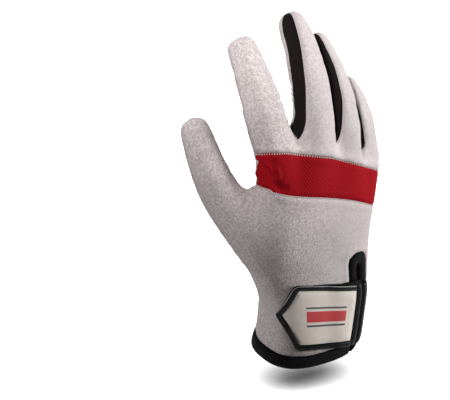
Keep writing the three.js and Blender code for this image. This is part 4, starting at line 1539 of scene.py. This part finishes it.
def roundedCorners(corners, radii, steps=8):
    line = []
    count = len(corners)
    for i, (corner, radius) in enumerate(zip(corners, radii)):
        corner = np.array(corner, float)
        before = np.array(corners[i - 1], float)
        after = np.array(corners[(i + 1) % count], float)
        toBefore = unit(before - corner)
        toAfter = unit(after - corner)
        if radius <= 0:
            line.append(corner)
            continue
        half = math.acos(float(np.clip(toBefore @ toAfter, -1, 1))) / 2
        cut = radius / math.tan(half)
        centre = corner + unit(toBefore + toAfter) * radius / math.sin(half)
        first = corner + toBefore * cut - centre
        second = corner + toAfter * cut - centre
        turn = math.acos(float(np.clip(unit(first) @ unit(second), -1, 1)))
        for k in range(steps + 1):
            s = k / steps
            a = math.sin((1 - s) * turn) / math.sin(turn)
            b = math.sin(s * turn) / math.sin(turn)
            line.append(centre + first * a + second * b)
    return line


def barStart(height):
    return readTable(strapForm["barStart"], height)


def strapCorners(margin, shift):
    corners = [strapForm[name] for name in ("farHigh", "highShoulder", "tip", "lowShoulder", "farLow")]
    lines = list(zip(corners[:-1], corners[1:]))
    moved = []
    for first, second in lines:
        first = np.array(first, float)
        second = np.array(second, float)
        along = unit(second - first)
        inward = np.array([-along[1], along[0]])
        moved.append((first + inward * margin, along))

    def cross(a, b):
        (p, d), (q, e) = a, b
        s = ((q[0] - p[0]) * e[1] - (q[1] - p[1]) * e[0]) / (d[0] * e[1] - d[1] * e[0])
        return p + d * s

    def atEnd(line):
        p, d = line
        end = p + d * (barStart(strapForm["level"]) - p[0]) / d[0]
        return np.array([barStart(end[1]) + shift, end[1]])

    return [atEnd(moved[0]), cross(moved[0], moved[1]), cross(moved[1], moved[2]),
            cross(moved[2], moved[3]), atEnd(moved[3])]


def openLine(margin, shift, radiusShift):
    corners = strapCorners(margin, shift)
    tip = max(0.3, strapForm["tipRounding"] - radiusShift)
    shoulder = max(0.4, strapForm["shoulderRounding"] - radiusShift)
    return roundedCorners(corners, [0, shoulder, tip, shoulder, 0])


def evenly(line, count):
    line = np.array(line)
    steps = np.concatenate([[0], np.cumsum(np.linalg.norm(np.diff(line, axis=0), axis=1))])
    at = np.linspace(0, steps[-1], count)
    return np.stack([np.interp(at, steps, line[:, k]) for k in range(2)], axis=1)


def buildPiping():
    outer = openLine(0, -strapForm["gap"], 0)
    inner = openLine(strapForm["binding"], -strapForm["gap"], strapForm["binding"])
    pairs = []
    spans = [(0, 1, 40), (1, 9, 8), (9, 10, 22), (10, 18, 8), (18, 19, 22), (19, 27, 8), (27, 28, 40)]
    for first, last, count in spans:
        a = evenly(outer[first : last + 1], count)
        b = evenly(inner[first : last + 1], count)
        for point, other in zip(a[:-1], b[:-1]):
            pairs.append((point, other))
    pairs.append((np.array(outer[-1]), np.array(inner[-1])))

    def place(step, across, lift):
        outerPoint, innerPoint = pairs[step]
        along, height = lerp(innerPoint, outerPoint, across)
        return strapPoint(along, height, strapForm["bindingThickness"] * lift)

    return sweepTape("strap_binding.piping", place, range(len(pairs)), 0.8), pairs


faceForm = {
    "underPiping": 0.5, "underBar": 0.1, "tipGap": 0.05, "edge": 4,
    "slantFrom": 38, "slantFade": 18, "columns": 84, "rows": 44,
}


def buildStrapFace():
    margin = strapForm["binding"] - faceForm["underPiping"]
    line = np.array(openLine(margin, faceForm["underBar"], margin))
    end = barStart(strapForm["level"]) + faceForm["underBar"]
    columns = faceForm["columns"]
    rows = faceForm["rows"]
    tip = line[:, 0].min()
    alongs = np.linspace(tip + faceForm["tipGap"], end, columns)
    half = len(line) // 2
    top = line[: half + 1][::-1]
    bottom = line[half:]
    vertices = []
    flats = []
    for layer in (1, 0):
        for along in alongs:
            high = np.interp(along, top[:, 0], top[:, 1])
            low = np.interp(along, bottom[:, 0], bottom[:, 1])
            for row in range(rows):
                share = row / (rows - 1)
                height = lerp(low, high, share)
                edge = min(height - low, high - height, along - tip, end - along)
                dome = strapForm["faceDome"] * smooth(edge / faceForm["edge"])
                lift = (strapForm["faceThickness"] + dome) * layer
                ahead = smooth((along - faceForm["slantFrom"]) / faceForm["slantFade"])
                slant = (barStart(height) - barStart(strapForm["level"])) * ahead
                vertices.append(strapPoint(along + slant, height, lift) * mm)
                flats.append((along, share * strapForm["printWidth"]))
    faces = []
    size = columns * rows
    for c in range(columns - 1):
        for r in range(rows - 1):
            a = c * rows + r
            b = a + rows
            faces.append([a, b, b + 1, a + 1])
            faces.append([size + a, size + a + 1, size + b + 1, size + b])
    rim = [c * rows for c in range(columns)]
    rim += [(columns - 1) * rows + r for r in range(1, rows)]
    rim += [c * rows + rows - 1 for c in reversed(range(columns - 1))]
    rim += [r for r in reversed(range(1, rows - 1))]
    for i, a in enumerate(rim):
        b = rim[(i + 1) % len(rim)]
        faces.append([a, size + a, size + b, b])
    mesh = bpy.data.meshes.new("strap_face.leather")
    mesh.from_pydata([tuple(v) for v in vertices], [], faces)
    layer = mesh.uv_layers.new(name="cloth")
    for loop in mesh.loops:
        layer.data[loop.index].uv = flats[loop.vertex_index]
    return closedPiece("strap_face.leather", mesh)


# how much thinner the bar is at its ends, how suddenly, and its groove's width as a share of it
barForm = {"thinner": 0.35, "suddenness": 8, "grooveWidth": 0.09, "steps": 60, "around": 48}


def buildEndBar():
    corners = strapCorners(0, 0)
    high = corners[0][1]
    low = corners[-1][1]

    def place(step, across, lift):
        height = lerp(low, high, step)
        along = lerp(barStart(height), strapForm["length"], across)
        ends = 1 - barForm["thinner"] * abs(2 * step - 1) ** barForm["suddenness"]
        groove = 1 - strapForm["barGroove"] * math.exp(-(((across - 0.5) / barForm["grooveWidth"]) ** 2))
        return strapPoint(along, height, strapForm["bindingThickness"] * ends * groove * lift)

    steps = np.linspace(0, 1, barForm["steps"])
    return sweepTape("strap_end_bar.tape", place, steps, 1.0, barForm["around"])


# The pale bead paints the piping rim's highlight; it runs round the tip and along the top only
def buildPaintedHighlightBead():
    line = openLine(strapForm["beadIn"], 0, 0)
    path = evenly(line[: len(line) // 2 + strapForm["beadPast"]], strapForm["beadSteps"])
    size = strapForm["beadSize"]

    def place(step, across, lift):
        ahead = path[min(step + 1, len(path) - 1)] - path[max(step - 1, 0)]
        side = np.array([-ahead[1], ahead[0]]) / np.linalg.norm(ahead)
        along, height = path[step] + side * size * (across - 0.5) * 2
        return strapPoint(along, height, strapForm["beadLift"] + size * 2 * lift)

    return sweepTape("strap_painted_highlight_bead", place, range(len(path)), 1.0, 8)


# a black tape above the strap: the slit binding's foot, and a painted shadow of the strap's top edge
footAndShadowForm = {
    "under": 1.5, "in": 0.3, "out": 1.0, "outMore": 0.8, "riseFrom": 44, "riseFade": 12,
    "steps": 60, "squareness": 0.6,
}


def buildFootAndShadow():
    form = footAndShadowForm
    table = strapForm["foot"]

    def place(step, across, lift):
        along = lerp(table[0][0], table[-1][0], step)
        edge = np.interp(along, [strapForm["highShoulder"][0], strapForm["length"]],
                         [strapForm["highShoulder"][1], strapForm["farHigh"][1]])
        height = edge - form["under"] + (readTable(table, along) + form["under"]) * across
        more = form["outMore"] * smooth((along - form["riseFrom"]) / form["riseFade"]) * lift
        return strapPoint(along, height, lerp(-form["in"], form["out"], lift) + more)

    return sweepTape("strap_foot_and_shadow.tape", place, np.linspace(0, 1, form["steps"]), form["squareness"])


piping, pipingPairs = buildPiping()
finishPiece(piping, "piping", "strap_binding", "black_piping")
finishPiece(buildStrapFace(), "strapFace", "strap_face", "strap_face")
finishPiece(buildEndBar(), "piping", "strap_end_bar", "black_piping")
# painted highlight on the piping's rim
finishPiece(buildPaintedHighlightBead(), "paintedHighlightBead", None, "black_piping")
# the binding's foot and the painted shadow above the strap
finishPiece(buildFootAndShadow(), "blackBinding", None, "black_binding")
print("strap is closed")


# Stitches: short threads set along the seams

stitchForm = {
    # long is along the seam and wide across it, lift is over the cloth and up is a shift up the hand
    "bandTop": {"pitch": 1.65, "long": 0.75, "wide": 1.5, "high": 0.6, "lift": 0.45, "up": -0.75},
    "bandBottom": {"pitch": 1.25, "long": 1.2, "wide": 0.8, "high": 0.6, "lift": 0.45, "up": 0.35},
    "strips": {"pitch": 1.9, "long": 1.05, "wide": 0.42, "high": 0.34, "lift": 0.34, "up": 0.0},
    "panel": {"pitch": 2.2, "long": 1.4, "wide": 0.45, "high": 0.36, "lift": 0.2, "up": 0.0},
    "piping": {"pitch": 2.1, "long": 1.35, "wide": 0.4, "high": 0.32, "lift": 0.0, "up": 0.0},
}
# where the row of stitches runs on the piping: its share of the width and its height
pipingRow = {"across": 0.3, "height": 2.85}


def stitchTree(material):
    tree = bpy.data.node_groups.new("stitches", "GeometryNodeTree")
    tree.interface.new_socket("Geometry", in_out="INPUT", socket_type="NodeSocketGeometry")
    for label in ("Pitch", "Long", "Wide", "High"):
        tree.interface.new_socket(label, in_out="INPUT", socket_type="NodeSocketFloat")
    tree.interface.new_socket("Geometry", in_out="OUTPUT", socket_type="NodeSocketGeometry")
    given = addNode(tree, "NodeGroupInput").outputs
    line = addNode(tree, "GeometryNodeMeshToCurve", values={"Mesh": given["Geometry"]})
    spots = addNode(tree, "GeometryNodeCurveToPoints", {"mode": "LENGTH"},
                    {"Curve": line.outputs[0], "Length": given["Pitch"]})
    outward = addNode(tree, "GeometryNodeInputNamedAttribute", {"data_type": "FLOAT_VECTOR"},
                      {"Name": "out"})
    along = addNode(tree, "FunctionNodeAlignRotationToVector", {"axis": "Z"},
                    {"Vector": spots.outputs["Tangent"]})
    facing = addNode(tree, "FunctionNodeAlignRotationToVector", {"axis": "X", "pivot_axis": "Z"},
                     {"Rotation": along.outputs[0], "Vector": outward.outputs[0]})
    thread = addNode(tree, "GeometryNodeMeshIcoSphere", values={"Radius": 0.5, "Subdivisions": 1})
    size = addNode(tree, "ShaderNodeCombineXYZ",
                   values={0: given["High"], 1: given["Wide"], 2: given["Long"]})
    placed = addNode(tree, "GeometryNodeInstanceOnPoints", values={
        "Points": spots.outputs["Points"], "Instance": thread.outputs["Mesh"],
        "Rotation": facing.outputs[0], "Scale": size.outputs[0],
    })
    real = addNode(tree, "GeometryNodeRealizeInstances", values={"Geometry": placed.outputs[0]})
    soft = addNode(tree, "GeometryNodeSetShadeSmooth", values={"Geometry": real.outputs[0]})
    made = addNode(tree, "GeometryNodeSetMaterial",
                   values={"Geometry": soft.outputs[0], "Material": material})
    addNode(tree, "NodeGroupOutput", values={"Geometry": made.outputs[0]})
    return tree


def sewStitches(name, points, outs, edges, form, material, slot):
    mesh = bpy.data.meshes.new(name + ".line")
    raised = np.array(points) + np.array(outs) * form["lift"] + [0, 0, form["up"]]
    mesh.from_pydata((raised * mm).tolist(), [list(edge) for edge in edges], [])
    outward = mesh.attributes.new("out", "FLOAT_VECTOR", "POINT")
    outward.data.foreach_set("vector", np.array(outs).ravel())
    guide = putInScene(name + ".line", mesh)
    modifier = guide.modifiers.new("stitches", "NODES")
    modifier.node_group = stitchTree(materials[material])
    sizes = {"Pitch": "pitch", "Long": "long", "Wide": "wide", "High": "high"}
    for item in modifier.node_group.interface.items_tree:
        if item.in_out == "INPUT" and item.name in sizes:
            modifier[item.identifier] = form[sizes[item.name]] * mm
    evaluated = guide.evaluated_get(bpy.context.evaluated_depsgraph_get())
    sewn = bpy.data.meshes.new_from_object(evaluated)
    bpy.data.objects.remove(guide)
    piece = putInScene(name, sewn)
    print(name + ":", len(sewn.polygons), "faces")
    return finishPiece(piece, material, None, slot)


def sewSeam(name, chosen, form, material, slot):
    edges = seamPoints(skin, chosen)
    used, places = np.unique(edges, return_inverse=True)
    lines = places.reshape(-1, 2).tolist()
    sewStitches(name, skin.common[used], skin.out[used], lines, form, material, slot)


def betweenPieces(first, second):
    return lambda a, b: (a in first and b in second) or (a in second and b in first)


backs = ["finger_back", "palm_panel"]
sewSeam("band_top.stitches", betweenPieces(["knuckle_band"], ["finger_back"]),
        stitchForm["bandTop"], "whiteThread", "towelling")
sewSeam("band_bottom.stitches", betweenPieces(["knuckle_band"], ["hand_back"]),
        stitchForm["bandBottom"], "whiteThread", "towelling")
sewSeam("strips.stitches", betweenPieces(stripNames, backs),
        stitchForm["strips"], "whiteThread", "towelling")
sewSeam("side_panel.stitches", betweenPieces(["cuff_side_panel"], ["palm_panel"]),
        stitchForm["panel"], "whiteThread", "cuff_cloth")

pipingPoints = []
pipingOuts = []
for outerPoint, innerPoint in pipingPairs:
    alongStrap, strapHeight = lerp(innerPoint, outerPoint, pipingRow["across"])
    low = strapPoint(alongStrap, strapHeight, pipingRow["height"])
    pipingPoints.append(low)
    pipingOuts.append(strapPoint(alongStrap, strapHeight, pipingRow["height"] + 1) - low)
pipingEdges = [(k, k + 1) for k in range(len(pipingPoints) - 1)]
sewStitches("piping.stitches", pipingPoints, pipingOuts, pipingEdges,
            stitchForm["piping"], "blackThread", "black_piping")
print("seams are stitched")


# The floor's paper and the wall behind it


def backdrop(name, corners, faces, finish):
    mesh = bpy.data.meshes.new(name)
    mesh.from_pydata(corners, [], faces)
    mesh.materials.append(finish.material)
    return putInScene(name, mesh)


def buildFloor():
    half = studio["floorSize"] / 2
    level = cadBox[0].z - studio["floorDrop"]
    corners = [(-half, -half, level), (half, -half, level), (half, half, level), (-half, half, level)]
    finish = Finish("floorPaper", 0.9)
    finish.set(Base_Color=(*studio["floorColor"], 1))
    floor = backdrop("floor", corners, [(0, 1, 2, 3)], finish)
    floor.visible_diffuse = False  # the paper lies too near to be a fill light
    return floor


def shareLights(floor):
    states = {"floor": "INCLUDE", "glove": "EXCLUDE"}
    for lit, state in states.items():
        receivers = bpy.data.collections.new(lit + "Light")
        receivers.objects.link(floor)
        receivers.collection_objects[0].light_linking.link_state = state
        for light in bpy.data.objects:
            if light.type == "LIGHT" and light["lights"] == lit:
                light.light_linking.receiver_collection = receivers


# The wall stands far round the floor, and only the camera sees it
def buildWall():
    count = studio["wallSides"]
    radius = studio["wallRadius"]
    turns = [2 * math.pi * k / count for k in range(count)]
    corners = []
    for height in (studio["wallFoot"], studio["wallHeight"]):
        corners += [(radius * math.cos(turn), radius * math.sin(turn), height) for turn in turns]
    faces = [(k, count + k, count + (k + 1) % count, (k + 1) % count) for k in range(count)]
    finish = Finish("wallPaper", 1.0)
    finish.set(Base_Color=rgb(0, 0, 0), Specular_IOR_Level=0.0)
    finish.set(Emission_Color=rgb(1, 1, 1), Emission_Strength=1.0)
    wall = backdrop("wall", corners, faces, finish)
    for ray in ("diffuse", "glossy", "transmission", "volume_scatter", "shadow"):
        setattr(wall, "visible_" + ray, False)


shareLights(buildFloor())
buildWall()
